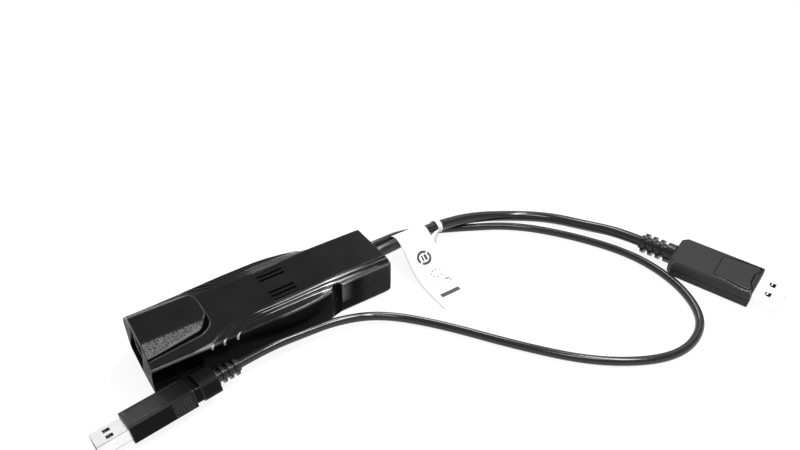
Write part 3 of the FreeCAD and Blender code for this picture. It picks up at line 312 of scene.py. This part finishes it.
def groove_highlight_mask(tree, x, off, z):
    """The painted highlight in the flow grooves: straight runs that fade out, and short swept ends.
    """
    grooves = None
    for line, bend, turn, (low, high) in zip(FLOW_LINES, FLOW_BENDS, FLOW_TURNS, FLOW_RUNS):
        strip = faded(
            tree, step(tree, apart_from(tree, off, line), 0.38, 0.22),
            (x, low - 2.0, low + 3.0), (x, high + 2.0, high - 16.0))
        along = maths(tree, "SUBTRACT", x, turn * MM)
        across = maths(tree, "SUBTRACT", off, (line + bend) * MM)
        reach = maths(tree, "SQRT", maths(tree, "ADD", maths(tree, "MULTIPLY", along, along),
                                          maths(tree, "MULTIPLY", across, across)))
        end = faded(
            tree, step(tree, apart_from(tree, reach, bend), 0.36, 0.2),
            (off, 17.8, 18.4), (z, 16.4, 17.0), (x, turn - 4.0, turn - 6.0))
        end = maths(tree, "MULTIPLY", end, 0.8)
        strip = maths(tree, "MAXIMUM", strip, end)
        grooves = strip if grooves is None else maths(tree, "MAXIMUM", grooves, strip)
    return grooves


def shine_mask(tree, x, off, z):
    """Where edges shine: not in the deck's middle or low down, less at the tail and the sweeps."""
    shine = maths(tree, "MAXIMUM", step(tree, off, 9.0, 10.5), step(tree, x, 0.0, -4.0))
    shine = faded(tree, shine, (z, 13.5, 15.0))
    tail = faded(tree, step(tree, x, 26.0, 42.0), (x, 57.5, 56.0))
    shine = maths(tree, "SUBTRACT", shine, maths(tree, "MULTIPLY", tail, 0.65))
    sweeps = faded(tree, step(tree, x, -30.0, -26.0), (x, 2.0, -3.0), (off, 10.5, 11.5))
    return maths(tree, "SUBTRACT", shine, maths(tree, "MULTIPLY", sweeps, 0.85))


def case_material():
    """Case plastic: a deck painted lighter than its sides, blasted facets on the hump with a
    painted sheen, and painted highlights in the flow grooves and along the edges.
    """
    material, tree, shader, place = new_material("case_plastic")
    x, y, z = axes(tree, place)
    off = maths(tree, "ABSOLUTE", y)
    facet, rim_highlight = facet_masks(tree, x, off, z)
    grooves = groove_highlight_mask(tree, x, off, z)
    slow = noise(tree, place, DRIFT_SCALE)
    fine = noise(tree, place, GRAIN_SCALE, 2.0, 0.7)
    grit = noise(tree, place, 1500.0, 2.0, 0.8)
    lean = upward(tree)

    # Painted shading: the deck lighter on top, the sides near black, and a painted reflection in
    # grey on the tail's sides.
    deck_shading = ramp(tree, slow, [(0.3, (0.0125, 0.0125, 0.0129)), (0.7, (0.0165, 0.0165, 0.017))])
    flank = mix(tree, step(tree, x, 38.0, 45.0), 0.0015, 0.028)
    base = mix(tree, step(tree, lean, *FACING_UP), flank, deck_shading)
    curve = faded(
        tree, step(tree, lean, 0.2, 0.4, 1.0), (off, 14.6, 15.4), (lean, 0.95, 0.9, 1.0))
    edge = polish(tree, shader, 0.9, shine_mask(tree, x, off, z), curve)
    # A painted highlight lightens the polished edges.
    base = mix(tree, edge, base, CASE_EDGE_HIGHLIGHT_TONE)
    # Painted shade darkens the case round each vent slot.
    vent_shade_mask = faded(
        tree, fold_mask(tree, 0.9)[0],
        (off, 3.2, 3.6), (off, 11.4, 11.0), (x, -0.8, -0.4), (x, 13.6, 13.2), (z, 16.0, 18.0))
    base = mix(tree, vent_shade_mask, base, VENT_SHADE_TONE)
    # The blasted facets: a speckled grain, lightened by a painted sheen.
    speck_and_sheen = ramp(tree, grit, [(0.4, 0.035), (0.6, 0.2)])
    base = mix(tree, facet, base, speck_and_sheen)
    # A painted highlight along the facets' lower edges.
    base = mix(tree, rim_highlight, base, RIM_HIGHLIGHT_TONE)
    # A painted highlight in the flow grooves.
    base = mix(tree, grooves, base, GROOVE_HIGHLIGHT_TONE)
    tree.links.new(base, shader.inputs["Base Color"])

    rough = ramp(tree, slow, [(0.3, 0.3), (0.7, 0.36)])
    rough = mix(tree, facet, rough, 0.5)
    rough = mix(tree, grooves, rough, 0.3)
    shader.inputs["Specular IOR Level"].default_value = 0.035
    tree.links.new(rough, shader.inputs["Roughness"])
    # The grooves' painted highlight is also part metal.
    tree.links.new(maths(tree, "MULTIPLY", grooves, GROOVE_METAL), shader.inputs["Metallic"])
    coarse = maths(tree, "ADD", maths(tree, "MULTIPLY", facet, 3.0), 0.25)
    grain = maths(tree, "MULTIPLY", fine, coarse)
    add_bump(tree, shader, grain, 0.5, 0.00004, soft_edge(tree, 0.3))
    return material


def plug_material(name, top, flank, run, gloss, edge_highlight_tone, video=False):
    """Overmoulded plug with painted shading: the upper faces and the sides have their own greys.

    top and flank are greys at the two ends of run, which goes along Y on the video plug and along X
    on the other; the data plug's top darkens towards its rear, a painted shadow of the case, and
    the video plug's sides darken towards the rear. The video plug also has a seam, painted shade in
    its folds, and polish on its outer edges only; every plug has a painted highlight along its
    polished edges.
    """
    material, tree, shader, place = new_material(name)
    slow = noise(tree, place, DRIFT_SCALE)
    fine = noise(tree, place, GRAIN_SCALE, 2.0, 0.7)
    x, y, z = axes(tree, place)
    # Painted shading along run: the data plug's top darkens to its rear as a painted shadow of the
    # case; the video plug's sides darken towards the rear.
    along = step(tree, y if video else x, *run)
    tones = []
    for greys in (flank, top):
        shades = [
            ramp(tree, slow, [
                (stop, (grey * gain, grey * gain * 0.96, grey * gain)) for stop, gain in DRIFT_GAIN
            ])
            for grey in greys
        ]
        tones.append(mix(tree, along, *shades))
    # Painted shading: the sides and the upper faces get their own greys.
    base = mix(tree, step(tree, upward(tree), *FACING_UP), *tones)
    if video:
        parts = [
            maths(tree, "MULTIPLY", place_on, share)
            for place_on, share in zip((x, y), VIDEO_AXIS)
        ]
        across = apart_from(tree, maths(tree, "ADD", *parts), VIDEO_AXIS[2])
        # Painted shade along the folds within the covers' outer edges, round the latch.
        fold_shade = faded(tree, fold_mask(tree, 0.6)[0], (across, *reversed(COVER_EDGE)))
        base = mix(tree, fold_shade, base, FOLD_SHADE_TONE)
        seam = step(tree, apart_from(tree, z, PLUG_SEAM), 0.34, 0.16)
        base = mix(tree, seam, base, SEAM_TONE)
        outer = faded(tree, step(tree, across, *COVER_EDGE), (z, 8.0, 9.5))
        edge = polish(tree, shader, 0.9, outer)
    else:
        edge = polish(tree, shader, 0.7)
    # A painted highlight lightens the polished edges.
    tree.links.new(mix(tree, edge, base, edge_highlight_tone), shader.inputs["Base Color"])
    tree.links.new(ramp(tree, slow, [(0.3, 0.46), (0.7, 0.54)]), shader.inputs["Roughness"])
    shader.inputs["Specular IOR Level"].default_value = gloss
    add_bump(tree, shader, fine, 0.3, 0.00005, soft_edge(tree, 0.3))
    return material


def film_material():
    """Coated white film of the tag."""
    material, tree, shader, place = new_material("tag_film")
    fibre = noise(tree, place, 700.0, 4.0)
    tone = ramp(tree, fibre, [(0.3, (0.93, 0.915, 0.925)), (0.7, (0.96, 0.945, 0.955))])
    tree.links.new(tone, shader.inputs["Base Color"])
    shader.inputs["Roughness"].default_value = 0.42
    add_bump(tree, shader, fibre, 0.05, 0.00003)
    return material


def ink_material():
    """Dark grey print."""
    material, tree, shader, place = new_material("tag_ink")
    spread = noise(tree, place, 1200.0, 3.0)
    tone = ramp(tree, spread, [(0.35, (0.032, 0.028, 0.034)), (0.65, (0.06, 0.054, 0.062))])
    tree.links.new(tone, shader.inputs["Base Color"])
    shader.inputs["Roughness"].default_value = 0.6
    return material


# Each row: name, darkest and lightest colour, least and most roughness, waves to the metre and
# strength of the grain, and the radius of the soft edges, if it has them.
MOULDED = (
    ("soft_black", (0.005, 0.005, 0.0053), (0.009, 0.009, 0.0093), 0.2, 0.28, 1800.0, 0.12, 0.3),
    ("cord_black", (0.012, 0.012, 0.0122), (0.018, 0.018, 0.0183), 0.12, 0.16, 1200.0, 0.06),
    ("jack_black", (0.006, 0.006, 0.0065), (0.01, 0.01, 0.0105), 0.4, 0.5, 1500.0, 0.15),
    ("chip_black", (0.015, 0.015, 0.016), (0.025, 0.025, 0.026), 0.5, 0.6, 3000.0, 0.2),
    ("header_white", (0.55, 0.54, 0.5), (0.68, 0.67, 0.62), 0.4, 0.5, 1500.0, 0.1),
    ("capacitor_tan", (0.32, 0.22, 0.13), (0.4, 0.29, 0.18), 0.4, 0.5, 1500.0, 0.1),
    ("lead_jacket", (0.05, 0.05, 0.055), (0.08, 0.08, 0.085), 0.4, 0.5, 900.0, 0.1),
)
# Each row: name, colour, least and most roughness, and how far its painted dark reflection reaches
# from its folds.
METALS = (
    ("bright_metal", (0.95, 0.945, 0.945), 0.2, 0.32),
    ("data_metal", (0.95, 0.945, 0.945), 0.2, 0.32, 0.45),
    ("screw_steel", (0.6, 0.6, 0.61), 0.25, 0.4),
    ("contact_gold", (0.83, 0.62, 0.27), 0.15, 0.25),
)
MATERIALS = {"case_plastic": case_material()}
MATERIALS.update({row[0]: moulded(*row) for row in MOULDED})
MATERIALS.update({row[0]: metal(*row) for row in METALS})
MATERIALS["board_green"] = board_material()
MATERIALS["tag_film"] = film_material()
MATERIALS["tag_ink"] = ink_material()
MATERIALS["data_plug"] = plug_material(
    "data_plug", top=(0.039, 0.009), flank=(0.003, 0.003), run=(-66.0, -44.0), gloss=0.12,
    edge_highlight_tone=0.02)
MATERIALS["plug_plastic"] = plug_material(
    "plug_plastic", top=(0.027, 0.024), flank=(0.062, 0.014), run=(-80.0, -60.0), gloss=0.15,
    edge_highlight_tone=0.2, video=True)

# Two pieces look different from the rest of their slot.
OWN_MATERIAL = {"usb_overmold": "data_plug", "usb_shell": "data_metal"}
for entry in frame["record"]["subparts"]:
    piece = frame["nodes"][entry["node"]]
    finish = MATERIALS[OWN_MATERIAL.get(entry["node"], entry["material_slot"])]
    for slot in piece.material_slots:
        slot.material = finish
    if not piece.material_slots:
        piece.data.materials.append(finish)

# ---------------------------------------------------------------- cords

# The same routes as the part's cords, each from its bush to its boot, in millimetres.
VIDEO_CORD = 5.6
DATA_CORD = 4.0
VIDEO_ROUTE = [
    (51.4, -0.4, 14.4),
    (64.5, -0.4, 14.4),
    (82.0, 4.8, 11.0),
    (103.0, 7.0, 8.8),
    (122.0, 5.2, 7.2),
    (144.5, -0.6, 2.9),
    (161.5, -13.8, 2.9),
    (172.6, -31.5, 3.4),
    (178.63, -47.60, 6.36),
    (182.14, -59.07, 6.36),
]
DATA_ROUTE = [
    (51.4, 5.7, 14.4),
    (64.0, 5.7, 14.4),
    (80.0, 11.3, 9.8),
    (98.0, 12.4, 3.6),
    (117.0, 5.4, 2.1),
    (141.3, -8.1, 2.1),
    (160.4, -31.6, 2.1),
    (174.6, -59.2, 2.1),
    (176.3, -83.1, 2.1),
    (170.2, -102.2, 2.1),
    (159.7, -113.8, 2.1),
    (142.6, -118.8, 2.1),
    (124.7, -114.7, 2.1),
    (103.3, -100.4, 2.1),
    (84.1, -77.3, 2.1),
    (62.1, -45.4, 2.1),
    (44.0, -27.2, 2.9),
    (24.0, -23.2, 6.9),
    (6.0, -22.4, 7.6),
    (-11.04, -23.51, 9.73),
    (-23.97, -24.78, 9.19),
]


def cord_curve(name, route, diameter):
    """A round cord along a smooth curve with its ends at the route's ends."""
    data = bpy.data.curves.new(name, "CURVE")
    data.dimensions = "3D"
    data.resolution_u = 16
    data.bevel_depth = diameter / 2 * MM
    data.bevel_resolution = 8
    data.use_fill_caps = True
    spline = data.splines.new("NURBS")
    spline.points.add(len(route) - 1)
    for point, place in zip(spline.points, route):
        point.co = (*mm(*place), 1.0)
    spline.order_u = 3
    spline.use_endpoint_u = True
    piece = bpy.data.objects.new(name, data)
    bpy.context.scene.collection.objects.link(piece)
    data.materials.append(MATERIALS["cord_black"])
    return piece


def spline_length(piece):
    """Length of a cord's own spline in metres, from its curve with no bevel."""
    plain = piece.data.copy()
    plain.bevel_depth = 0.0
    holder = bpy.data.objects.new("measure", plain)
    mesh = bpy.data.meshes.new_from_object(holder)
    points = [v.co.copy() for v in mesh.vertices]
    bpy.data.objects.remove(holder)
    return sum((b - a).length for a, b in zip(points, points[1:]))


DP_PIECES = [
    "dp_boot", "dp_lower_cover", "dp_upper_cover", "dp_latch_button", "dp_latch_hooks", "dp_shell",
    "dp_insulator", "dp_contacts",
]
USB_PIECES = ["usb_boot", "usb_overmold", "usb_shell", "usb_insulator", "usb_contacts"]

for label, route, diameter, on_it in (
    ("dp_cord", VIDEO_ROUTE, VIDEO_CORD, DP_PIECES),
    ("usb_cord", DATA_ROUTE, DATA_CORD, USB_PIECES),
):
    cord = cord_curve(f"{label}_line", route, diameter)
    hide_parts(label)
    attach(cord, "dongle")
    spline_length(cord)

# ---------------------------------------------------------------- tag

# The film's first X and its width along X, and its two side edges as (Y, Z) corners, from the short
# end behind the cords over them and down to the floor.
TAG_START = 71.5
TAG_WIDTH = 20.5
NEAR_LINE = [(6.4, 14.6), (2.4, 16.3), (-2.2, 14.6), (-12.0, 5.0), (-20.0, 0.7), (-38.0, 0.2)]
FAR_LINE = [(9.4, 11.8), (5.9, 13.2), (1.8, 11.4), (-10.0, 3.6), (-20.0, 0.7), (-38.0, 0.2)]
FILM_COLUMNS = 9
FILM_THICK = 0.15

# The strap's first X and width along X, the cords' middles there as (Y, Z), and its space round
# them. BAND_THICK is for the strap and its link to the film.
STRAP_START = 98.6
STRAP_WIDTH = 2.8
STRAP_VIDEO = (6.4, 9.25)
STRAP_DATA = (11.4, 4.0)
STRAP_SPACE = 0.62
BAND_THICK = 0.2

# How far the print is moved along X, and how far it lies above the film's middle.
PRINT_SHIFT = 1.5
INK_LIFT = 0.13


def rounded(points, times=3):
    """A polyline with its corners cut again and again; the ends stay."""
    points = [Vector(p) for p in points]
    for _ in range(times):
        cut = [points[0]]
        for a, b in zip(points, points[1:]):
            cut += [a.lerp(b, 0.25), a.lerp(b, 0.75)]
        points = cut + [points[-1]]
    return points


class Film:
    """The tag's surface: across runs along X, down runs from the fold at the cords."""

    def __init__(self):
        self.near = rounded(NEAR_LINE)
        self.far = rounded(FAR_LINE)
        steps = [(b - a).length for a, b in zip(self.near, self.near[1:])]
        self.down = [sum(steps[:i]) for i in range(len(self.near))]
        fold = (Vector(NEAR_LINE[1]) - Vector(NEAR_LINE[0])).length
        fold += (Vector(NEAR_LINE[2]) - Vector(NEAR_LINE[1])).length
        self.fold = fold

    def at(self, across, down, lift=0.0):
        """A point of the film at those places, raised by lift."""
        goal = min(max(down + self.fold, 0.0), self.down[-1])
        index = 0
        while index < len(self.down) - 2 and self.down[index + 1] < goal:
            index += 1
        share = (goal - self.down[index]) / (self.down[index + 1] - self.down[index])
        near = self.near[index].lerp(self.near[index + 1], share)
        far = self.far[index].lerp(self.far[index + 1], share)
        spot = near.lerp(far, across / TAG_WIDTH)
        along = (self.near[index + 1] - self.near[index]).normalized()
        normal = Vector((-along.y, along.x))
        if normal.y < 0:
            normal = -normal
        spot = spot + normal * lift
        return mm(TAG_START + across, spot.x, spot.y)


def mesh_piece(name, corners, faces, slot, thick=0.0):
    """A smooth mesh object, with a wall round its surface if it has a thickness."""
    mesh = bpy.data.meshes.new(name)
    mesh.from_pydata(corners, [], faces)
    mesh.materials.append(MATERIALS[slot])
    piece = bpy.data.objects.new(name, mesh)
    bpy.context.scene.collection.objects.link(piece)
    for face in mesh.polygons:
        face.use_smooth = True
    if thick:
        wall = piece.modifiers.new("film", "SOLIDIFY")
        wall.thickness = thick * MM
        wall.offset = 0.0
    return piece


def grid_faces(rows, columns):
    """The squares of a grid whose corners run row by row."""
    return [
        (r * columns + c, r * columns + c + 1, (r + 1) * columns + c + 1, (r + 1) * columns + c)
        for r in range(rows - 1) for c in range(columns - 1)
    ]


film = Film()


def make_film():
    """The tag's film, from its short end behind the cords to its lower end."""
    last = FILM_COLUMNS - 1
    corners = []
    for down in film.down:
        corners += [film.at(TAG_WIDTH * c / last, down - film.fold) for c in range(FILM_COLUMNS)]
    faces = grid_faces(len(film.down), FILM_COLUMNS)
    return mesh_piece("tag_film", corners, faces, "tag_film", FILM_THICK)


def strap_loop(x):
    """Closed outline round both cords at a station, in the plane across X."""
    (vy, vz), video = STRAP_VIDEO, VIDEO_CORD / 2 + STRAP_SPACE
    (dy, dz), data = STRAP_DATA, DATA_CORD / 2 + STRAP_SPACE
    heading = math.atan2(dz - vz, dy - vy)
    lean = math.asin((video - data) / math.hypot(dy - vy, dz - vz))
    turn = math.pi / 2 - lean
    points = []
    for index in range(13):
        angle = heading + turn + (2 * math.pi - 2 * turn) * index / 12
        points.append(mm(x, vy + video * math.cos(angle), vz + video * math.sin(angle)))
    for index in range(9):
        angle = heading - turn + 2 * turn * index / 8
        points.append(mm(x, dy + data * math.cos(angle), dz + data * math.sin(angle)))
    return points


def make_strap():
    """The narrow band round both cords."""
    low = strap_loop(STRAP_START)
    high = strap_loop(STRAP_START + STRAP_WIDTH)
    count = len(low)
    faces = [(i, (i + 1) % count, (i + 1) % count + count, i + count) for i in range(count)]
    return mesh_piece("tag_strap", low + high, faces, "tag_film", BAND_THICK)


def make_link():
    """The sagging piece between the film's edge and the strap."""
    corners = [
        film.at(TAG_WIDTH - 0.2, 1.5), film.at(TAG_WIDTH - 0.2, 6.0),
        mm(STRAP_START + 0.2, 2.95, 10.3), mm(STRAP_START + 0.2, 2.95, 8.0),
    ]
    middle_high = corners[0].lerp(corners[2], 0.5) + mm(0.0, 0.3, 0.2)
    middle_low = corners[1].lerp(corners[3], 0.5) + mm(0.0, 0.5, 0.3)
    points = [corners[0], corners[1], middle_high, middle_low, corners[2], corners[3]]
    return mesh_piece("tag_link", points, [(0, 1, 3, 2), (2, 3, 5, 4)], "tag_film", BAND_THICK)


def ink_patch(name, strips):
    """Flat print shapes; a strip has (across, down) pairs left and right of a path."""
    corners, faces = [], []
    for strip in strips:
        first = len(corners)
        for pair in strip:
            corners += [film.at(across + PRINT_SHIFT, down, INK_LIFT) for across, down in pair]
        faces += [
            (first + 2 * i, first + 2 * i + 1, first + 2 * i + 3, first + 2 * i + 2)
            for i in range(len(strip) - 1)
        ]
    return mesh_piece(name, corners, faces, "tag_ink")


def arc_strip(centre, radii, width, start, sweep, count):
    """A curved stroke: radii across and down, and a sweep from a start angle, both in degrees."""
    strip = []
    for index in range(count + 1):
        angle = math.radians(start + sweep * index / count)
        pair = []
        for grow in (-width / 2, width / 2):
            pair.append((
                centre[0] + (radii[0] + grow) * math.cos(angle),
                centre[1] + (radii[1] + grow) * math.sin(angle),
            ))
        strip.append(tuple(pair))
    return strip


def bar_strip(across, down, length, height, count=1):
    """A bar round its middle, in count parts so that a long one follows the film."""
    left = across - length / 2
    return [
        ((left + length * i / count, down - height / 2),
         (left + length * i / count, down + height / 2))
        for i in range(count + 1)
    ]


def make_print():
    """Generic marks: a broken ring with two bars, a dashed loop, ticks, dots and one wide bar."""
    ring = [arc_strip((8.3, 9.9), (3.7, 3.0), 1.3, start, 166.0, 24) for start in (-35.0, 145.0)]
    ring += [bar_strip(7.3, 9.9, 0.9, 2.9), bar_strip(9.3, 9.9, 1.5, 2.9)]
    loop = [arc_strip((10.0, 19.3), (3.1, 2.0), 0.5, 45.0 * i, 26.0, 3) for i in range(8)]
    ticks = [
        bar_strip(across, down, length, 0.75)
        for across, down, length in (
            (8.0, 23.2, 0.6), (9.2, 22.2, 0.5), (9.0, 25.4, 0.6), (12.6, 24.2, 2.4),
            (13.6, 25.4, 1.0),
        )
    ]
    dots = [bar_strip(4.0 + 1.6 * i, 36.4 + 0.5 * (i % 2), 0.35, 0.3) for i in range(6)]
    bar = [bar_strip(8.2, 32.6, 11.0, 2.4, 6)]
    return ink_patch("tag_print", ring + loop + ticks + dots + bar)


tag_film, tag_strap, tag_link, tag_print = make_film(), make_strap(), make_link(), make_print()
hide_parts("cable_tag")
for piece in (tag_film, tag_strap, tag_link, tag_print):
    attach(piece, "dongle")

# ---------------------------------------------------------------- floor, light, camera

# The floor in metres: half its width, and how far it is below the pieces. FLOOR_GLOW is what it
# gives off where it is seen.
FLOOR_SIZE = 1.2
FLOOR_DROP = 0.0001
FLOOR_GLOW = 0.9

# The backdrop in reflections goes from full white to SKY_ABOVE between two heights, as the upward
# part of the direction. SKY_LIGHT is its strength as light on the object.
SKY_FADE = (0.12, 0.5)
SKY_ABOVE = 0.35
SKY_LIGHT = 0.25

# Each lamp: name, place, aim and size in metres, and power in watts.
LAMPS = (
    ("strip", (0.296, -0.122, 0.547), (0.02, -0.014, 0.02), (0.42, 0.08), 2.5),
    ("panel", (0.62, 0.25, 0.58), (0.15, -0.08, 0.0), (0.5, 0.35), 0.5),
    ("back", (0.31, 0.235, 0.475), (0.13, -0.05, 0.0), (0.1, 0.34), 1.2),
    ("front", (0.02, -0.27, 0.55), (-0.04, -0.015, 0.02), (0.3, 0.08), 1.0),
)

# The camera: place, the directions to its right and ahead, roll in radians, and focal length.
CAMERA_PLACE = (-80.45, -220.44, 221.88)
CAMERA_RIGHT = (0.82181, -0.56976, 0.0)
CAMERA_AHEAD = (0.4595, 0.66276, -0.59128)
CAMERA_ROLL = 0.01193
CAMERA_LENS = 31.098


def make_floor():
    """A pale paper floor that shows white to the camera and in reflections."""
    mesh = bpy.data.meshes.new("floor")
    shape = bmesh.new()
    bmesh.ops.create_grid(shape, x_segments=1, y_segments=1, size=FLOOR_SIZE)
    shape.to_mesh(mesh)
    shape.free()
    floor = bpy.data.objects.new("floor", mesh)
    floor.location = (0.0, 0.0, -FLOOR_DROP)
    bpy.context.scene.collection.objects.link(floor)
    material = bpy.data.materials.new("floor")
    material.use_nodes = True
    tree = material.node_tree
    tree.nodes.clear()
    out = tree.nodes.new("ShaderNodeOutputMaterial")
    paper = tree.nodes.new("ShaderNodeBsdfDiffuse")
    paper.inputs["Color"].default_value = (0.5, 0.495, 0.5, 1.0)
    seen = tree.nodes.new("ShaderNodeBsdfDiffuse")
    seen.inputs["Color"].default_value = (0.2, 0.198, 0.2, 1.0)
    glow = tree.nodes.new("ShaderNodeEmission")
    glow.inputs["Color"].default_value = (1.0, 0.99, 1.0, 1.0)
    glow.inputs["Strength"].default_value = FLOOR_GLOW
    both = tree.nodes.new("ShaderNodeAddShader")
    choice = tree.nodes.new("ShaderNodeMixShader")
    rays = tree.nodes.new("ShaderNodeLightPath").outputs
    tree.links.new(seen.outputs[0], both.inputs[0])
    tree.links.new(glow.outputs[0], both.inputs[1])
    shown = maths(tree, "MAXIMUM", rays["Is Camera Ray"], rays["Is Glossy Ray"])
    shown = maths(tree, "MAXIMUM", shown, rays["Is Transmission Ray"])
    tree.links.new(shown, choice.inputs["Fac"])
    tree.links.new(paper.outputs[0], choice.inputs[1])
    tree.links.new(both.outputs[0], choice.inputs[2])
    tree.links.new(choice.outputs[0], out.inputs["Surface"])
    mesh.materials.append(material)


def make_world():
    """A white backdrop: full white to the camera and low down in reflections, soft above."""
    world = bpy.data.worlds.new("studio")
    bpy.context.scene.world = world
    world.use_nodes = True
    tree = world.node_tree
    tree.nodes.clear()
    out = tree.nodes.new("ShaderNodeOutputWorld")
    place = tree.nodes.new("ShaderNodeTexCoord")
    height = tree.nodes.new("ShaderNodeMapRange")
    height.interpolation_type = "SMOOTHSTEP"
    height.inputs["From Min"].default_value, height.inputs["From Max"].default_value = SKY_FADE
    height.inputs["To Min"].default_value = 1.0
    height.inputs["To Max"].default_value = SKY_ABOVE
    tree.links.new(axes(tree, place.outputs["Generated"])[2], height.inputs["Value"])
    seen, mirrored, lit = (tree.nodes.new("ShaderNodeBackground") for _ in range(3))
    lit.inputs["Strength"].default_value = SKY_LIGHT
    tree.links.new(height.outputs["Result"], mirrored.inputs["Strength"])
    for background in (seen, mirrored, lit):
        background.inputs["Color"].default_value = (1.0, 1.0, 1.0, 1.0)
    rays = tree.nodes.new("ShaderNodeLightPath").outputs
    clear = maths(tree, "MAXIMUM", rays["Is Camera Ray"], rays["Is Transmission Ray"])
    last = lit
    for mask, background in ((rays["Is Glossy Ray"], mirrored), (clear, seen)):
        choice = tree.nodes.new("ShaderNodeMixShader")
        tree.links.new(mask, choice.inputs["Fac"])
        tree.links.new(last.outputs[0], choice.inputs[1])
        tree.links.new(background.outputs[0], choice.inputs[2])
        last = choice
    tree.links.new(last.outputs[0], out.inputs["Surface"])


def area_light(name, place, aim, size, power):
    """A rectangular lamp that faces its aim."""
    data = bpy.data.lights.new(name, "AREA")
    data.shape = "RECTANGLE"
    data.size, data.size_y = size
    data.energy = power
    lamp = bpy.data.objects.new(name, data)
    lamp.location = place
    lamp.rotation_euler = (Vector(aim) - Vector(place)).to_track_quat("-Z", "Y").to_euler()
    bpy.context.scene.collection.objects.link(lamp)


def make_camera():
    """The camera, with its right squared to where it looks, then rolled a little."""
    data = bpy.data.cameras.new("camera")
    data.sensor_width = 36.0
    data.lens = CAMERA_LENS
    data.clip_start = 0.01
    camera = bpy.data.objects.new("camera", data)
    right = Vector(CAMERA_RIGHT).normalized()
    forward = Vector(CAMERA_AHEAD).normalized()
    right = (right - forward * right.dot(forward)).normalized()
    up = right.cross(forward)
    cos, sin = math.cos(CAMERA_ROLL), math.sin(CAMERA_ROLL)
    right, up = right * cos + up * sin, up * cos - right * sin
    turn = Matrix((right, up, -forward)).transposed().to_4x4()
    camera.matrix_world = Matrix.Translation(mm(*CAMERA_PLACE)) @ turn
    bpy.context.scene.collection.objects.link(camera)
    bpy.context.scene.camera = camera


make_floor()
make_world()
for lamp in LAMPS:
    area_light(*lamp)
make_camera()
bpy.context.scene.view_settings.view_transform = "Standard"
